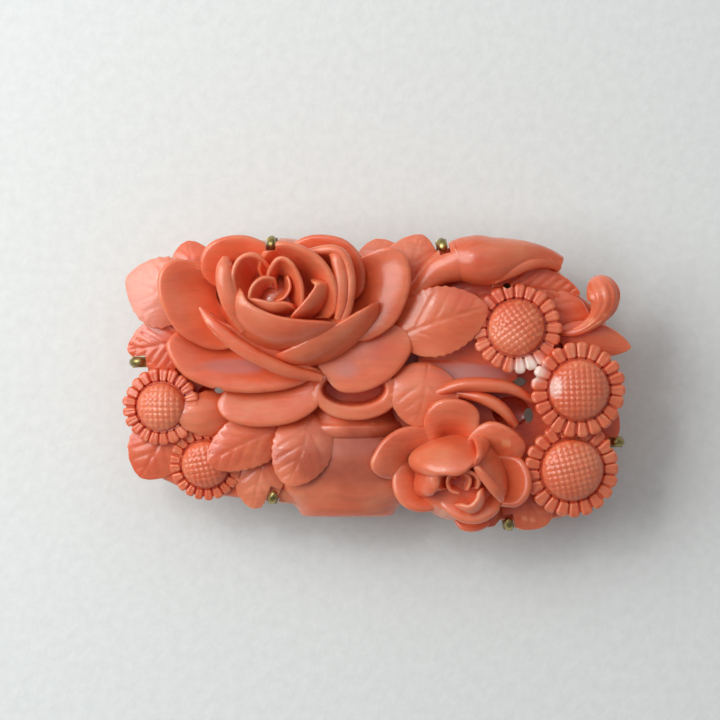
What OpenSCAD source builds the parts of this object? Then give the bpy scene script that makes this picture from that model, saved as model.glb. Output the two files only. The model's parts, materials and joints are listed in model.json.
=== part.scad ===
// A carved coral sash clip. One piece of coral holds two roses, five button
// daisies, a bud, leaves and a vase in high relief. Six claws on a soldered metal
// frame grip its edge, and two bridges behind it take a flat sash cord.
// It lies on its bridges: X is along the cord, Y is up the picture, Z is the relief.

/* [Carving] */
// Width of the carving from the left daisy to the right leaf tip
carving_w = 50; // [44:1:58]
// Height of the carving from the rose's top petals to the bloom's lowest one
carving_h = 30; // [27:1:35]
// Depth of the relief from the coral's flat back to the top of the large rose
carving_d = 11; // [9:0.5:13]
// Thickness of the ground that all of the relief grows out of
ground_t = 2.6; // [2:0.1:3.4]

/* [Roses] */
// Reach of the large rose's side petals from its heart
rose_r = 10; // [9:0.25:11]
// Radius of the small rose's closed cup
bloom_r = 5; // [4.5:0.1:5.5]

/* [Daisies] */
// Radius of a daisy across its ray petals
daisy_r = 4.7; // [4:0.1:5.2]
// Radius of a daisy's domed button
button_r = 2.75; // [2.3:0.05:3]
// Number of ray petals on each daisy
rays = 21; // [18:1:24]
// Thickness of a ray petal
ray_t = 0.9; // [0.7:0.05:1.1]

/* [Leaves, bud and stems] */
// Half width of a middling leaf
leaf_w = 3; // [2.5:0.1:3.5]
// Radius of the rose bud at its belly
bud_r = 2.2; // [1.9:0.05:2.5]
// Radius of the stems
stem_r = 0.65; // [0.5:0.05:0.8]

/* [Vase] */
// Half width of the vase at its shoulder
vase_r = 8.4; // [7.5:0.1:9]
// How far the vase's front stands out of the back of the coral
vase_d = 5.6; // [5:0.1:6.5]
// Outer radius of the vase's lip
lip_r = 4.6; // [4.2:0.1:5]
// Thickness of the lip's rolled edge
lip_t = 1.5; // [1.2:0.05:1.8]

/* [Setting] */
// Width of the frame's band
band_w = 1.6; // [1.3:0.1:2]
// Thickness of the frame's band
band_t = 0.9; // [0.7:0.05:1.1]
// Width of a claw
claw_w = 1.1; // [0.9:0.05:1.3]
// Thickness of a claw
claw_t = 0.55; // [0.45:0.05:0.7]
// How far a claw's tip bends in over the coral
claw_reach = 1.2; // [1:0.05:1.5]
// Gap between the coral and the metal round it
seat_gap = 0.12; // [0.08:0.01:0.2]

/* [Cord bridges] */
// Width of the flat cord's way through a bridge
cord_way_w = 11.4; // [10:0.1:12.5]
// Height of the flat cord's way through a bridge
cord_way_h = 4.5; // [4.3:0.1:5]
// Length of each bridge along the cord
bridge_l = 4.6; // [4:0.1:6]
// Thickness of a bridge's metal
bridge_t = 0.9; // [0.8:0.05:1.1]
// Distance between the two bridges' centres
bridge_pitch = 22; // [20:0.5:24]

/* [Hidden] */

// Heights of the metal above the table, and of the coral's flat back
band_z = bridge_t + cord_way_h;
back_z = band_z + band_t + seat_gap;

// Places on the carving are shares of its width, its height and its depth
function place(s) = [s.x * carving_w, s.y * carving_h, back_z + s.z * carving_d];

// Clear cuts and laps that leave no skin between solids
lap = 0.3;

// Depth of the well round a daisy's button against the thickness of its ray petals
well_share = 0.7;

// Steps of a petal along its rim and from its root to its rim
along_steps = 8;
across_steps = 2;

// A smooth curve through the listed points, t from 0 to 1
function through(p, t) =
    let (n = len(p) - 1,
         s = min(t * n, n - 0.000001),
         i = floor(s),
         f = s - i,
         a = p[max(i - 1, 0)],
         b = p[i],
         c = p[i + 1],
         d = p[min(i + 2, n)])
    0.5 * (2 * b + (c - a) * f + (2 * a - 5 * b + 4 * c - d) * f * f + (3 * b - a - 3 * c + d) * f * f * f);

function unit(v) = v / max(norm(v), 0.000001);

// A closed solid between two grids of points of the same size. Seen from above the top grid,
// its columns turn to the left of its rows.
module between(top, bottom) {
    n = len(top);
    m = len(top[0]);
    function id(side, i, j) = (side * n + i) * m + j;
    polyhedron(
        points = [for (g = [top, bottom]) for (row = g) for (p = row) p],
        faces = concat(
            [for (i = [0 : n - 2]) for (j = [0 : m - 2]) [id(0, i, j), id(0, i, j + 1), id(0, i + 1, j)]],
            [for (i = [0 : n - 2]) for (j = [0 : m - 2]) [id(0, i + 1, j), id(0, i, j + 1), id(0, i + 1, j + 1)]],
            [for (i = [0 : n - 2]) for (j = [0 : m - 2]) [id(1, i, j), id(1, i + 1, j), id(1, i, j + 1)]],
            [for (i = [0 : n - 2]) for (j = [0 : m - 2]) [id(1, i + 1, j), id(1, i + 1, j + 1), id(1, i, j + 1)]],
            [for (i = [0 : n - 2]) for (e = [0, 1]) let (j = e * (m - 1), k = i + e, l = i + 1 - e)
                [id(0, k, j), id(0, l, j), id(1, k, j)]],
            [for (i = [0 : n - 2]) for (e = [0, 1]) let (j = e * (m - 1), k = i + e, l = i + 1 - e)
                [id(1, k, j), id(0, l, j), id(1, l, j)]],
            [for (j = [0 : m - 2]) for (e = [0, 1]) let (i = e * (n - 1), k = j + 1 - e, l = j + e)
                [id(0, i, k), id(0, i, l), id(1, i, k)]],
            [for (j = [0 : m - 2]) for (e = [0, 1]) let (i = e * (n - 1), k = j + 1 - e, l = j + e)
                [id(1, i, k), id(0, i, l), id(1, i, l)]]),
        convexity = 6);
}

// Columns of a petal table. RIM lists points of the petal's edge anticlockwise round its hub, as shares of
// the flower's radius across and of the carving's depth up. ROOT says how far its root is from its rim,
// inwards for a petal that opens and outwards for one that closes over the heart, and ROOT_Z how high.
// SWELL is how far its face swells up or, below nought, is dished, as a share of the carving's depth.
RIM = 0;
ROOT = 1;
ROOT_Z = 2;
SWELL = 3;

// The face of a petal of a flower of radius r whose petals grow round hub
function petal_face(row, hub, r) =
    [for (i = [0 : along_steps])
        let (u = i / along_steps,
             rim = through(row[RIM], u),
             reach = norm([rim.x - hub.x, rim.y - hub.y]),
             out = [rim.x - hub.x, rim.y - hub.y] / reach,
             root = max(reach + row[ROOT] * (row[ROOT] > 0 ? 0.2 + 0.8 * sin(180 * u) : 1), 0.04))
        [for (j = [0 : across_steps])
            let (v = j / across_steps, at = hub + out * (root + (reach - root) * v))
            [at.x * r, at.y * r,
                carving_d * (row[ROOT_Z] + (rim.z - row[ROOT_Z]) * v + row[SWELL] * sin(180 * v) * sin(180 * u))]]];

// A petal in relief: below its face it runs straight down into the ground
module petal(row, hub, r) {
    face = petal_face(row, hub, r);
    foot = [for (line = face) [for (p = line) [p.x, p.y, lap]]];
    if (row[ROOT] > 0) between(face, foot);
    else between(foot, face);
}

// The large rose, round its heart, with the outer petals first
rose_at = [-0.213, 0.333, 0];
rose_hub = [0.10, -0.25];
heart_hub = [0.06, -0.09];
ROSE = [
    [[[-0.76, 0.20, 0.50], [-1.00, 0.18, 0.57], [-1.08, -0.08, 0.60], [-0.92, -0.43, 0.52], [-0.56, -0.68, 0.44]], -0.55, 0.30, -0.05],
    [[[-0.04, 0.42, 0.56], [-0.30, 0.47, 0.58], [-0.55, 0.41, 0.58], [-0.66, 0.25, 0.56], [-0.68, 0.11, 0.52]], -0.40, 0.34, -0.03],
    [[[0.92, -0.02, 0.52], [0.88, 0.26, 0.56], [0.69, 0.47, 0.60], [0.40, 0.48, 0.60], [0.15, 0.40, 0.56]], -0.42, 0.34, -0.03],
    [[[1.08, -0.58, 0.56], [1.32, -0.20, 0.62], [1.38, 0.06, 0.64], [1.21, 0.35, 0.62], [0.91, 0.28, 0.56]], -0.65, 0.28, -0.06],
    [[[0.57, -0.95, 0.42], [0.75, -1.07, 0.46], [1.04, -1.03, 0.50], [1.32, -0.83, 0.52], [1.40, -0.51, 0.50]], -0.62, 0.26, -0.05],
    [[[-0.99, -0.50, 0.42], [-0.98, -0.67, 0.44], [-0.72, -0.97, 0.44], [-0.30, -1.05, 0.42], [0.05, -0.99, 0.38]], -0.55, 0.24, -0.05],
    [[[-0.49, -1.12, 0.30], [-0.51, -1.27, 0.36], [-0.20, -1.44, 0.40], [0.30, -1.34, 0.40], [0.51, -1.05, 0.34]], -0.60, 0.22, 0.02],
];
ROSE_CUP = [
    [[[-0.73, -0.28, 0.62], [-0.48, -0.48, 0.68], [-0.17, -0.66, 0.70], [0.18, -0.84, 0.64], [0.48, -0.97, 0.54]], -0.22, 0.44, 0.00],
    [[[0.06, -0.74, 0.66], [0.30, -0.63, 0.72], [0.58, -0.49, 0.76], [0.82, -0.35, 0.78], [1.02, -0.21, 0.78]], -0.22, 0.44, 0.00],
    [[[-0.45, 0.21, 0.78], [-0.54, 0.17, 0.84], [-0.56, -0.02, 0.82], [-0.48, -0.26, 0.76], [-0.36, -0.50, 0.64]], -0.24, 0.40, -0.03],
    [[[0.68, -0.39, 0.76], [0.73, -0.12, 0.84], [0.74, 0.14, 0.87], [0.64, 0.31, 0.86], [0.42, 0.30, 0.82]], -0.28, 0.40, -0.03],
    [[[0.60, -0.08, 0.84], [0.50, 0.16, 0.91], [0.30, 0.33, 0.94], [0.09, 0.36, 0.94], [-0.08, 0.26, 0.88]], -0.20, 0.50, -0.03],
    [[[-0.07, 0.22, 0.86], [-0.18, 0.26, 0.88], [-0.30, 0.21, 0.88], [-0.36, 0.08, 0.86], [-0.33, -0.15, 0.84]], -0.18, 0.50, -0.03],
];
ROSE_HEART = [
    [[[-0.37, -0.09, 0.88], [-0.22, -0.29, 0.93], [0.06, -0.385, 0.96], [0.40, -0.41, 0.95], [0.69, -0.42, 0.88]], 0.34, 0.41, 0.05],
    [[[0.20, -0.38, 0.90], [0.34, -0.22, 0.94], [0.45, -0.09, 0.95], [0.47, 0.00, 0.94], [0.40, 0.05, 0.90]], -0.16, 0.59, -0.02],
    [[[0.31, -0.20, 0.92], [0.28, 0.02, 0.96], [0.20, 0.17, 0.99], [0.09, 0.21, 1.00], [0.01, 0.10, 0.94]], -0.12, 0.66, -0.02],
    [[[0.02, 0.04, 0.90], [-0.08, 0.04, 0.93], [-0.16, -0.03, 0.93], [-0.20, -0.16, 0.90]], -0.10, 0.67, -0.01],
    [[[-0.26, -0.14, 0.88], [-0.12, -0.19, 0.91], [0.02, -0.22, 0.92], [0.15, -0.22, 0.92], [0.26, -0.27, 0.90]], 0.12, 0.635, 0.01],
    [[[0.04, -0.17, 0.86], [0.13, -0.14, 0.91], [0.18, -0.05, 0.93], [0.17, 0.05, 0.92]], -0.05, 0.70, -0.01],
];

// The small rose, round its heart
bloom_at = [0.171, -0.347, 0];
bloom_hub = [0, 0];
BLOOM = [
    [[[0.34, 1.34, 0.48], [0.26, 1.58, 0.53], [-0.08, 1.72, 0.55], [-0.48, 1.62, 0.53], [-0.74, 1.32, 0.46]], -0.75, 0.26, -0.05],
    [[[1.22, 0.54, 0.46], [1.28, 0.86, 0.52], [0.98, 1.18, 0.55], [0.58, 1.32, 0.54], [0.22, 1.20, 0.48]], -0.65, 0.26, -0.05],
    [[[0.88, -0.30, 0.46], [1.10, -0.34, 0.50], [1.32, -0.08, 0.54], [1.32, 0.28, 0.54], [1.00, 0.64, 0.48]], -0.50, 0.26, -0.05],
    [[[-0.44, -0.20, 0.42], [-0.30, -0.50, 0.47], [0.14, -0.72, 0.50], [0.58, -0.62, 0.50], [0.78, -0.26, 0.44]], -0.30, 0.30, -0.03],
    [[[-0.20, -0.56, 0.24], [-0.06, -0.84, 0.30], [0.24, -0.90, 0.32], [0.48, -0.76, 0.28]], -0.35, 0.16, 0.02],
    [[[-1.14, 0.56, 0.40], [-1.32, 0.18, 0.44], [-1.22, -0.26, 0.45], [-0.80, -0.50, 0.43], [-0.42, -0.44, 0.38]], -0.45, 0.24, -0.04],
    [[[-0.88, 1.20, 0.44], [-1.44, 0.98, 0.50], [-1.76, 0.54, 0.51], [-1.70, 0.18, 0.48], [-1.42, 0.10, 0.42]], -0.80, 0.24, -0.06],
];
BLOOM_CUP = [
    [[[0.32, 0.88, 0.76], [0.18, 0.62, 0.81], [-0.08, 0.40, 0.82], [-0.36, 0.28, 0.81], [-0.66, 0.34, 0.74]], 0.55, 0.36, 0.03],
    [[[-0.64, 0.32, 0.74], [-0.58, 0.12, 0.76], [-0.60, -0.16, 0.68]], 0.25, 0.36, 0.02],
    [[[0.72, -0.20, 0.66], [0.44, 0.16, 0.75], [0.24, 0.50, 0.76]], 0.45, 0.36, 0.03],
    [[[-0.46, -0.04, 0.66], [-0.36, -0.34, 0.68], [0.06, -0.48, 0.69], [0.40, -0.28, 0.70], [0.46, 0.02, 0.70]], 0.20, 0.40, 0.02],
    [[[0.44, -0.02, 0.70], [0.36, 0.12, 0.73], [0.14, 0.24, 0.74], [-0.16, 0.30, 0.72]], -0.15, 0.46, -0.02],
    [[[-0.20, 0.22, 0.70], [-0.42, 0.20, 0.72], [-0.44, -0.02, 0.68]], -0.15, 0.46, -0.01],
    [[[0.14, -0.14, 0.68], [0.19, 0.04, 0.70], [0.02, 0.19, 0.71], [-0.16, 0.08, 0.70], [-0.08, -0.12, 0.68]], -0.10, 0.50, 0.00],
];

module flower(at, groups, r) {
    translate(place(at))
        for (g = groups) for (row = g[0]) petal(row, g[1], r);
}

// A solid of turned shape under a rose that its petals grow from. Its rows hold radius and height.
module mound(at, hub, r, rows) {
    translate(place(at) + [hub.x * r, hub.y * r, 0])
        rotate_extrude($fn = 14)
            polygon(concat([[0, 0]], [for (row = rows) [row[0] * r, row[1] * carving_d]]));
}

rose_foot = [0.10, -0.24];
bloom_foot = [-0.02, 0.04];
ROSE_MOUND = [[0.62, 0.00], [0.60, 0.34], [0.44, 0.52], [0.24, 0.605], [0.00, 0.62]];
BLOOM_MOUND = [[1.00, 0.00], [0.94, 0.28], [0.70, 0.46], [0.00, 0.50]];

// Columns of the daisies: place of the ray petals' ring, its size, how steeply its face is tilted, the
// side it is tilted down to, and the turn of its petals
AT = 0;
SIZE = 1;
TILT = 2;
TILT_TO = 3;
TURN = 4;
DAISIES = [
    [[-0.433, -0.083, 0.42], 0.86, 8, 200, 0],
    [[-0.342, -0.277, 0.32], 0.84, 14, 250, 8],
    [[0.281, 0.183, 0.50], 0.96, 6, 120, 33],
    [[0.403, -0.023, 0.58], 1.06, 6, 0, 0],
    [[0.395, -0.290, 0.42], 1.02, 12, 310, 14],
];

// Ray petals with a cleft between each two, outlined from four points a ray, down to depth h
module ray_ring(h) {
    outline = [for (k = [0 : rays - 1]) for (c = [[0, 0.74], [0.2, 0.96], [0.5, 1], [0.8, 0.96]])
        daisy_r * c[1] * [cos((k + c[0]) * 360 / rays), sin((k + c[0]) * 360 / rays)]];
    translate([0, 0, -h]) linear_extrude(h) polygon(outline);
}

// The domed button in a shallow well
module button() {
    crown = [for (a = [0 : 18 : 90]) button_r * [cos(a), 0.62 * sin(a)]];
    rotate_extrude($fn = 16) polygon(concat([[0, -ray_t], [button_r, -ray_t]], crown));
}

module daisy(row) {
    fall = tan(row[TILT]);
    translate(place(row[AT]))
        multmatrix([[1, 0, 0, 0], [0, 1, 0, 0], [-fall * cos(row[TILT_TO]), -fall * sin(row[TILT_TO]), 1, 0]])
            rotate(row[TURN]) scale([row[SIZE], row[SIZE], 1])
                difference() {
                    union() {
                        ray_ring(ray_t * 1.6);
                        button();
                        translate([0, 0, -row[AT].z * carving_d - ray_t])
                            cylinder(h = row[AT].z * carving_d, r = daisy_r * 1.01, $fn = rays);
                    }
                    translate([0, 0, -ray_t * well_share])
                        difference() {
                            cylinder(h = ray_t, r1 = button_r * 1.04, r2 = button_r * 1.22, $fn = 16);
                            translate([0, 0, -lap]) cylinder(h = ray_t + 2 * lap, r = button_r * 0.98, $fn = 16);
                        }
                }
}

// Columns of the leaves: base and tip, half width against leaf_w, crown of the middle as a share of the
// carving's depth, and roll about the rib
BASE = 0;
TIP = 1;
WIDE = 2;
CROWN = 3;
ROLL = 4;
LEAVES = [
    [[-0.378, 0.250, 0.34], [-0.498, 0.340, 0.30], 1.25, 0.05, 0],
    [[-0.360, 0.340, 0.34], [-0.372, 0.475, 0.30], 0.52, 0.03, 0],
    [[-0.392, 0.150, 0.30], [-0.494, 0.095, 0.24], 0.72, 0.04, 0],
    [[-0.400, -0.150, 0.26], [-0.462, -0.310, 0.20], 0.72, 0.03, 10],
    [[-0.240, -0.250, 0.30], [-0.252, -0.412, 0.24], 0.66, 0.03, 0],
    [[-0.300, -0.090, 0.44], [-0.392, -0.110, 0.44], 0.72, 0.05, 0],
    [[-0.200, -0.150, 0.52], [-0.336, -0.255, 0.46], 0.84, 0.05, 0],
    [[-0.136, -0.120, 0.46], [-0.172, -0.338, 0.46], 0.88, 0.05, 0],
    [[0.052, 0.130, 0.56], [0.218, 0.230, 0.58], 1.06, 0.07, 0],
    [[0.134, 0.030, 0.52], [0.076, -0.138, 0.54], 0.90, 0.05, 0],
    [[0.056, 0.300, 0.36], [0.084, 0.5015, 0.32], 0.62, 0.04, 0],
    [[0.010, 0.380, 0.30], [0.004, 0.482, 0.28], 0.54, 0.03, 0],
    [[0.262, 0.270, 0.36], [0.396, 0.322, 0.32], 0.76, 0.04, 0],
    [[0.360, 0.140, 0.36], [0.5137, 0.122, 0.34], 0.40, 0.04, 0],
    [[0.352, 0.250, 0.34], [0.440, 0.170, 0.30], 0.52, 0.03, 0],
    [[0.270, -0.390, 0.24], [0.342, -0.486, 0.20], 0.66, 0.03, 0],
    [[0.440, -0.060, 0.30], [0.488, -0.170, 0.24], 0.50, 0.03, 0],
    [[0.200, -0.420, 0.20], [0.226, -0.500, 0.16], 0.40, 0.02, 0],
];

// Steps along a leaf, and the half width along it as a share of its widest
leaf_steps = 6;
function leaf_swell(u) = max(pow(sin(180 * pow(u, 0.85)), 0.75), 0.08);

module leaf(row) {
    base = place(row[BASE]);
    tip = place(row[TIP]);
    way = unit([tip.x - base.x, tip.y - base.y, 0]);
    over = [-way.y * cos(row[ROLL]), way.x * cos(row[ROLL]), sin(row[ROLL])];
    ribs = [-1, 0, 1];
    top = [for (i = [0 : leaf_steps]) let (u = i / leaf_steps) [for (v = ribs)
        base + (tip - base) * u + over * v * leaf_w * row[WIDE] * leaf_swell(u)
        + [0, 0, carving_d * row[CROWN] * sin(180 * u) * (1 - 1.4 * v * v)]]];
    foot = [for (line = top) [for (p = line) [p.x, p.y, back_z + lap]]];
    between(top, foot);
}

// A run of balls blended one into the next and down into the ground. Its rows hold a place and a radius
// as a share of r, and flat says how tall a ball is against its radius.
module run(rows, r, flat, sides) {
    for (i = [0 : len(rows) - 2])
        hull()
            for (s = [rows[i], rows[i + 1]]) {
                translate(place(s[0])) scale([1, 1, flat]) sphere(r = s[1] * r, $fn = sides);
                translate(place([s[0].x, s[0].y, 0]) + [0, 0, lap]) cylinder(h = lap, r = s[1] * r, $fn = sides);
            }
}

// The bud: place along its length, then its radius as a share of bud_r
BUD = [
    [[0.060, 0.230, 0.34], 0.22], [[0.110, 0.320, 0.36], 0.36], [[0.160, 0.405, 0.38], 0.72],
    [[0.190, 0.415, 0.40], 1.05], [[0.240, 0.405, 0.41], 1.02], [[0.300, 0.395, 0.39], 0.78],
    [[0.350, 0.385, 0.36], 0.62], [[0.380, 0.350, 0.34], 0.50],
];
// The leaf that curls back at the right
CURL = [
    [[0.370, 0.150, 0.36], 0.24], [[0.412, 0.180, 0.42], 0.30], [[0.440, 0.230, 0.48], 0.50],
    [[0.452, 0.285, 0.48], 0.80], [[0.450, 0.325, 0.42], 0.62],
];
// Two blades that arch out from behind the small rose
BLADE_A = [[[0.150, -0.070, 0.40], 0.9], [[0.210, -0.020, 0.46], 1], [[0.270, -0.022, 0.46], 1], [[0.320, -0.060, 0.40], 0.8]];
BLADE_B = [[[0.180, -0.050, 0.38], 0.9], [[0.240, -0.050, 0.42], 1], [[0.275, -0.100, 0.40], 1], [[0.300, -0.160, 0.32], 0.8]];

module stems() {
    run(BUD, bud_r, 0.9, 8);
    run(CURL, bud_r, 0.8, 8);
    run(BLADE_A, stem_r, 1.6, 6);
    run(BLADE_B, stem_r, 1.6, 6);
}

// The vase's body: place up the picture, then half width and depth as shares of vase_r and vase_d
VASE = [
    [-0.446, 0.46, 0.50], [-0.436, 0.58, 0.62], [-0.400, 0.74, 0.80], [-0.340, 0.90, 0.92],
    [-0.270, 0.99, 1.00], [-0.200, 1.00, 0.98], [-0.140, 0.90, 0.86],
];
vase_x = -0.062;
lip_at = [-0.043, -0.017, 0];
// An ellipse's height over its width, as a lip seen from a little above
lip_flat = 0.62;
vase_steps = 10;

module vase() {
    front = [for (s = VASE) [for (k = [0 : vase_steps]) let (a = 12 + 156 * k / vase_steps)
        place([vase_x, s[0], 0]) + [-cos(a) * vase_r * s[1], 0, sin(a) * vase_d * s[2]]]];
    foot = [for (line = front) [for (p = line) [p.x, p.y, back_z - 1]]];
    lip_h = vase_d * 0.8;
    difference() {
        union() {
            between(foot, front);
            translate(place(lip_at)) scale([1, lip_flat, 1]) {
                cylinder(h = vase_d * 0.64, r1 = lip_r * 1.5, r2 = lip_r * 1.2, $fn = 20);
                rotate_extrude($fn = 20) polygon(concat([[0, 0], [lip_r, 0]],
                    [for (a = [0 : 45 : 180]) [lip_r + lip_t / 2 * (cos(a) - 1), lip_h + lip_t / 2 * sin(a)]], [[0, lip_h]]));
            }
        }
        translate(place(lip_at) + [0, 0, ground_t])
            scale([1, lip_flat, 1]) cylinder(h = vase_d * 2, r = lip_r - lip_t * 0.9, $fn = 18);
    }
}

// Outline of the ground, and the gaps that are cut through it, as shares of the carving's size
GROUND = [
    [-0.466, 0.350], [-0.380, 0.400], [-0.280, 0.450], [-0.130, 0.460], [0.000, 0.420], [0.090, 0.430],
    [0.180, 0.460], [0.330, 0.430], [0.400, 0.310], [0.460, 0.220], [0.470, 0.080], [0.475, -0.100],
    [0.460, -0.260], [0.430, -0.400], [0.330, -0.440], [0.200, -0.460], [0.100, -0.420], [0.040, -0.410],
    [-0.150, -0.410], [-0.270, -0.390], [-0.360, -0.350], [-0.450, -0.260], [-0.470, -0.080], [-0.460, 0.100],
];
// Columns: place across and up, radius across and up in shares of stem_r
GAPS = [
    [-0.316, -0.026, 1.8, 1.0], [0.288, 0.002, 1.6, 1.2], [0.312, -0.110, 1.3, 1.9], [0.266, 0.325, 1.4, 0.8],
    [-0.404, 0.190, 0.9, 0.8],
];

module ground() {
    translate([0, 0, back_z])
        linear_extrude(ground_t)
            polygon([for (p = GROUND) [p.x * carving_w, p.y * carving_h]]);
}

module gaps() {
    for (g = GAPS)
        translate([g[0] * carving_w, g[1] * carving_h, back_z - lap])
            scale([g[2] * stem_r, g[3] * stem_r, 1])
                cylinder(h = carving_d, r = 1, $fn = 10);
}

// Columns of the claws: place across and up, the way its tip bends, and its height over the coral's back
CLAWS = [
    [-0.211, 0.470, 270, 0.34], [0.133, 0.463, 285, 0.32], [-0.209, -0.385, 70, 0.32],
    [0.267, -0.475, 100, 0.28], [-0.484, 0.070, 5, 0.30], [0.488, -0.200, 180, 0.28],
];

// Height of a claw over the frame's underside
function claw_rise(row) = row[3] * carving_d + band_t;

// Sets a shape drawn with its bend to the right at a claw's place, as wide as width
module at_claw(row, width) {
    translate([row[0] * carving_w, row[1] * carving_h, band_z])
        rotate(row[2]) rotate([90, 0, 0]) translate([0, 0, -width / 2])
            linear_extrude(width) children();
}

module claw(row) {
    rise = claw_rise(row);
    at_claw(row, claw_w) polygon([
        [-claw_t, 0], [0, 0], [0, rise - claw_t], [claw_reach, rise - claw_t * 1.2],
        [claw_reach, rise - claw_t * 0.4], [claw_reach * 0.5, rise], [0, rise + claw_t * 0.3], [-claw_t, rise - claw_t * 0.5]]);
}

// Room for a claw in the coral's edge, open outwards and upwards
module notch(row) {
    rise = claw_rise(row);
    at_claw(row, claw_w + 2 * seat_gap) polygon([
        [-carving_d, -band_t], [seat_gap, -band_t], [seat_gap, rise - claw_t * 1.2 - seat_gap],
        [claw_reach + seat_gap, rise - claw_t * 1.2 - seat_gap], [claw_reach + 3 * seat_gap, carving_d * 2], [-carving_d, carving_d * 2]]);
}

module coral_carving() {
    color("#d9705a")
    difference() {
        union() {
            ground();
            vase();
            mound(rose_at, rose_foot, rose_r, ROSE_MOUND);
            mound(bloom_at, bloom_foot, bloom_r, BLOOM_MOUND);
            flower(rose_at, [[ROSE, rose_hub], [ROSE_CUP, rose_hub], [ROSE_HEART, heart_hub]], rose_r);
            flower(bloom_at, [[BLOOM, bloom_hub], [BLOOM_CUP, bloom_hub]], bloom_r);
            for (row = DAISIES) daisy(row);
            for (row = LEAVES) leaf(row);
            stems();
        }
        gaps();
        translate([0, 0, back_z - carving_d / 2])
            cube([carving_w * 2, carving_h * 2, carving_d], center = true);
        for (row = CLAWS) notch(row);
    }
}

// Half sizes of the frame's band, well inside the carving's edge
frame_x = carving_w * 0.40;
frame_y = carving_h * 0.34;

module band_outline(out) {
    r = frame_y * 0.5;
    for (k = [0 : 3])
        translate([(k % 2 == 0 ? -1 : 1) * (frame_x - r), (k < 2 ? -1 : 1) * (frame_y - r)])
            circle(r = r + out, $fn = 48);
    square([2 * (frame_x - r), 2 * (frame_y + out)], center = true);
    square([2 * (frame_x + out), 2 * (frame_y - r)], center = true);
}

module claw_setting() {
    color("#c9ab62") {
        // Band that the coral sits on
        translate([0, 0, band_z]) linear_extrude(band_t)
            difference() {
                band_outline(0);
                band_outline(-band_w);
            }
        // Arm from the band out to each claw
        for (row = CLAWS) {
            claw(row);
            x = row[0] * carving_w;
            y = row[1] * carving_h;
            inner = [max(min(x, frame_x - band_w), band_w - frame_x), max(min(y, frame_y - band_w / 2), band_w / 2 - frame_y)];
            translate([x, y, band_z])
                rotate(atan2(inner.y - y, inner.x - x))
                    translate([0, -claw_w / 2, 0]) cube([norm([inner.x - x, inner.y - y]), claw_w, band_t]);
        }
        // Bridges that the cord runs through
        for (s = [-1, 1]) translate([s * bridge_pitch / 2 - bridge_l / 2, 0, 0]) {
            translate([0, -cord_way_w / 2 - bridge_t, 0]) cube([bridge_l, cord_way_w + 2 * bridge_t, bridge_t]);
            for (t = [0, 1]) translate([0, t == 0 ? -cord_way_w / 2 - bridge_t : cord_way_w / 2, 0])
                cube([bridge_l, bridge_t, band_z + band_t]);
            translate([0, -frame_y + band_w / 2, band_z]) cube([bridge_l, 2 * frame_y - band_w, band_t]);
        }
    }
}

coral_carving();
claw_setting();
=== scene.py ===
"""Carved coral sash clip: the fine carving, its setting and a plain stage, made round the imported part."""

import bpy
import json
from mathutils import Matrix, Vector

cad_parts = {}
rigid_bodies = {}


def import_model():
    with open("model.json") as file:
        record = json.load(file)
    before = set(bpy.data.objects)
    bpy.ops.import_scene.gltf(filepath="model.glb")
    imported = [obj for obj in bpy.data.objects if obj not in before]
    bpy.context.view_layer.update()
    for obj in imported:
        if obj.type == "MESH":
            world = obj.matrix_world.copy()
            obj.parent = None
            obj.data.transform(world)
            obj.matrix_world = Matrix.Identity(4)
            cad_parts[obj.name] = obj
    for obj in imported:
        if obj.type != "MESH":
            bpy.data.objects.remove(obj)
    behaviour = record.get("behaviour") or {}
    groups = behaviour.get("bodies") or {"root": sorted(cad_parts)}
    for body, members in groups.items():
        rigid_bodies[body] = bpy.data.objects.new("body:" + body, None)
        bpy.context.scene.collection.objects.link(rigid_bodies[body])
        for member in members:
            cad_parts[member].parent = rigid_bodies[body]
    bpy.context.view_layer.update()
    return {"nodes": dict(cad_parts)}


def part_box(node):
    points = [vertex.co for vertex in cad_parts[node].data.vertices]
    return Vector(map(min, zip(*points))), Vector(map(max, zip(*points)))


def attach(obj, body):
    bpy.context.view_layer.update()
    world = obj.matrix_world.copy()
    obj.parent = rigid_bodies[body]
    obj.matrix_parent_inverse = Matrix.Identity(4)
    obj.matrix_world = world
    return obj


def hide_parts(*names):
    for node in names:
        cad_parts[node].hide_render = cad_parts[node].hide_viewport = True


bl_info = {
    "name": "Carved coral sash clip",
    "version": (1, 0, 0),
    "blender": (4, 5, 0),
    "location": "View3D > Sidebar > Coral clip",
    "description": "Carves the roses, daisies, leaves and vase of a coral sash clip",
    "category": "Add Mesh",
}

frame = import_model()

import json
import math

import bmesh
import bpy
import numpy as np
from mathutils import Matrix, Vector

CORAL_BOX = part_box("coral_carving")
# A millimetre, how near to each other points are welded, and what counts as no length at all, in metres
MM = 0.001
WELD = 0.000001
TINY = 1e-9
# Height of the coral's flat back over the table, in mm
BACK = CORAL_BOX[0].z / MM
# Height in the ground that whatever grows out of it starts from, in mm
FOOT = 0.3
# Collections, and the two pieces
RELIEF = "relief"
METAL = "setting"
STAGE = "stage"
CORAL = "coral_relief"
SETTING = "setting_fine"


# Shapes


def spline(points, t):
    """Points of a smooth curve through the listed ones, t from 0 to 1."""
    p = np.asarray(points, float)
    p = np.vstack([2 * p[0] - p[1], p, 2 * p[-1] - p[-2]])
    s = np.clip(np.asarray(t, float), 0, 1) * (len(p) - 3)
    i = np.minimum(s.astype(int), len(p) - 4)
    f = (s - i)[:, None]
    a, b, c, d = p[i], p[i + 1], p[i + 2], p[i + 3]
    square, cube = 2 * a - 5 * b + 4 * c - d, 3 * b - a - 3 * c + d
    return 0.5 * (2 * b + (c - a) * f + square * f**2 + cube * f**3)


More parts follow.
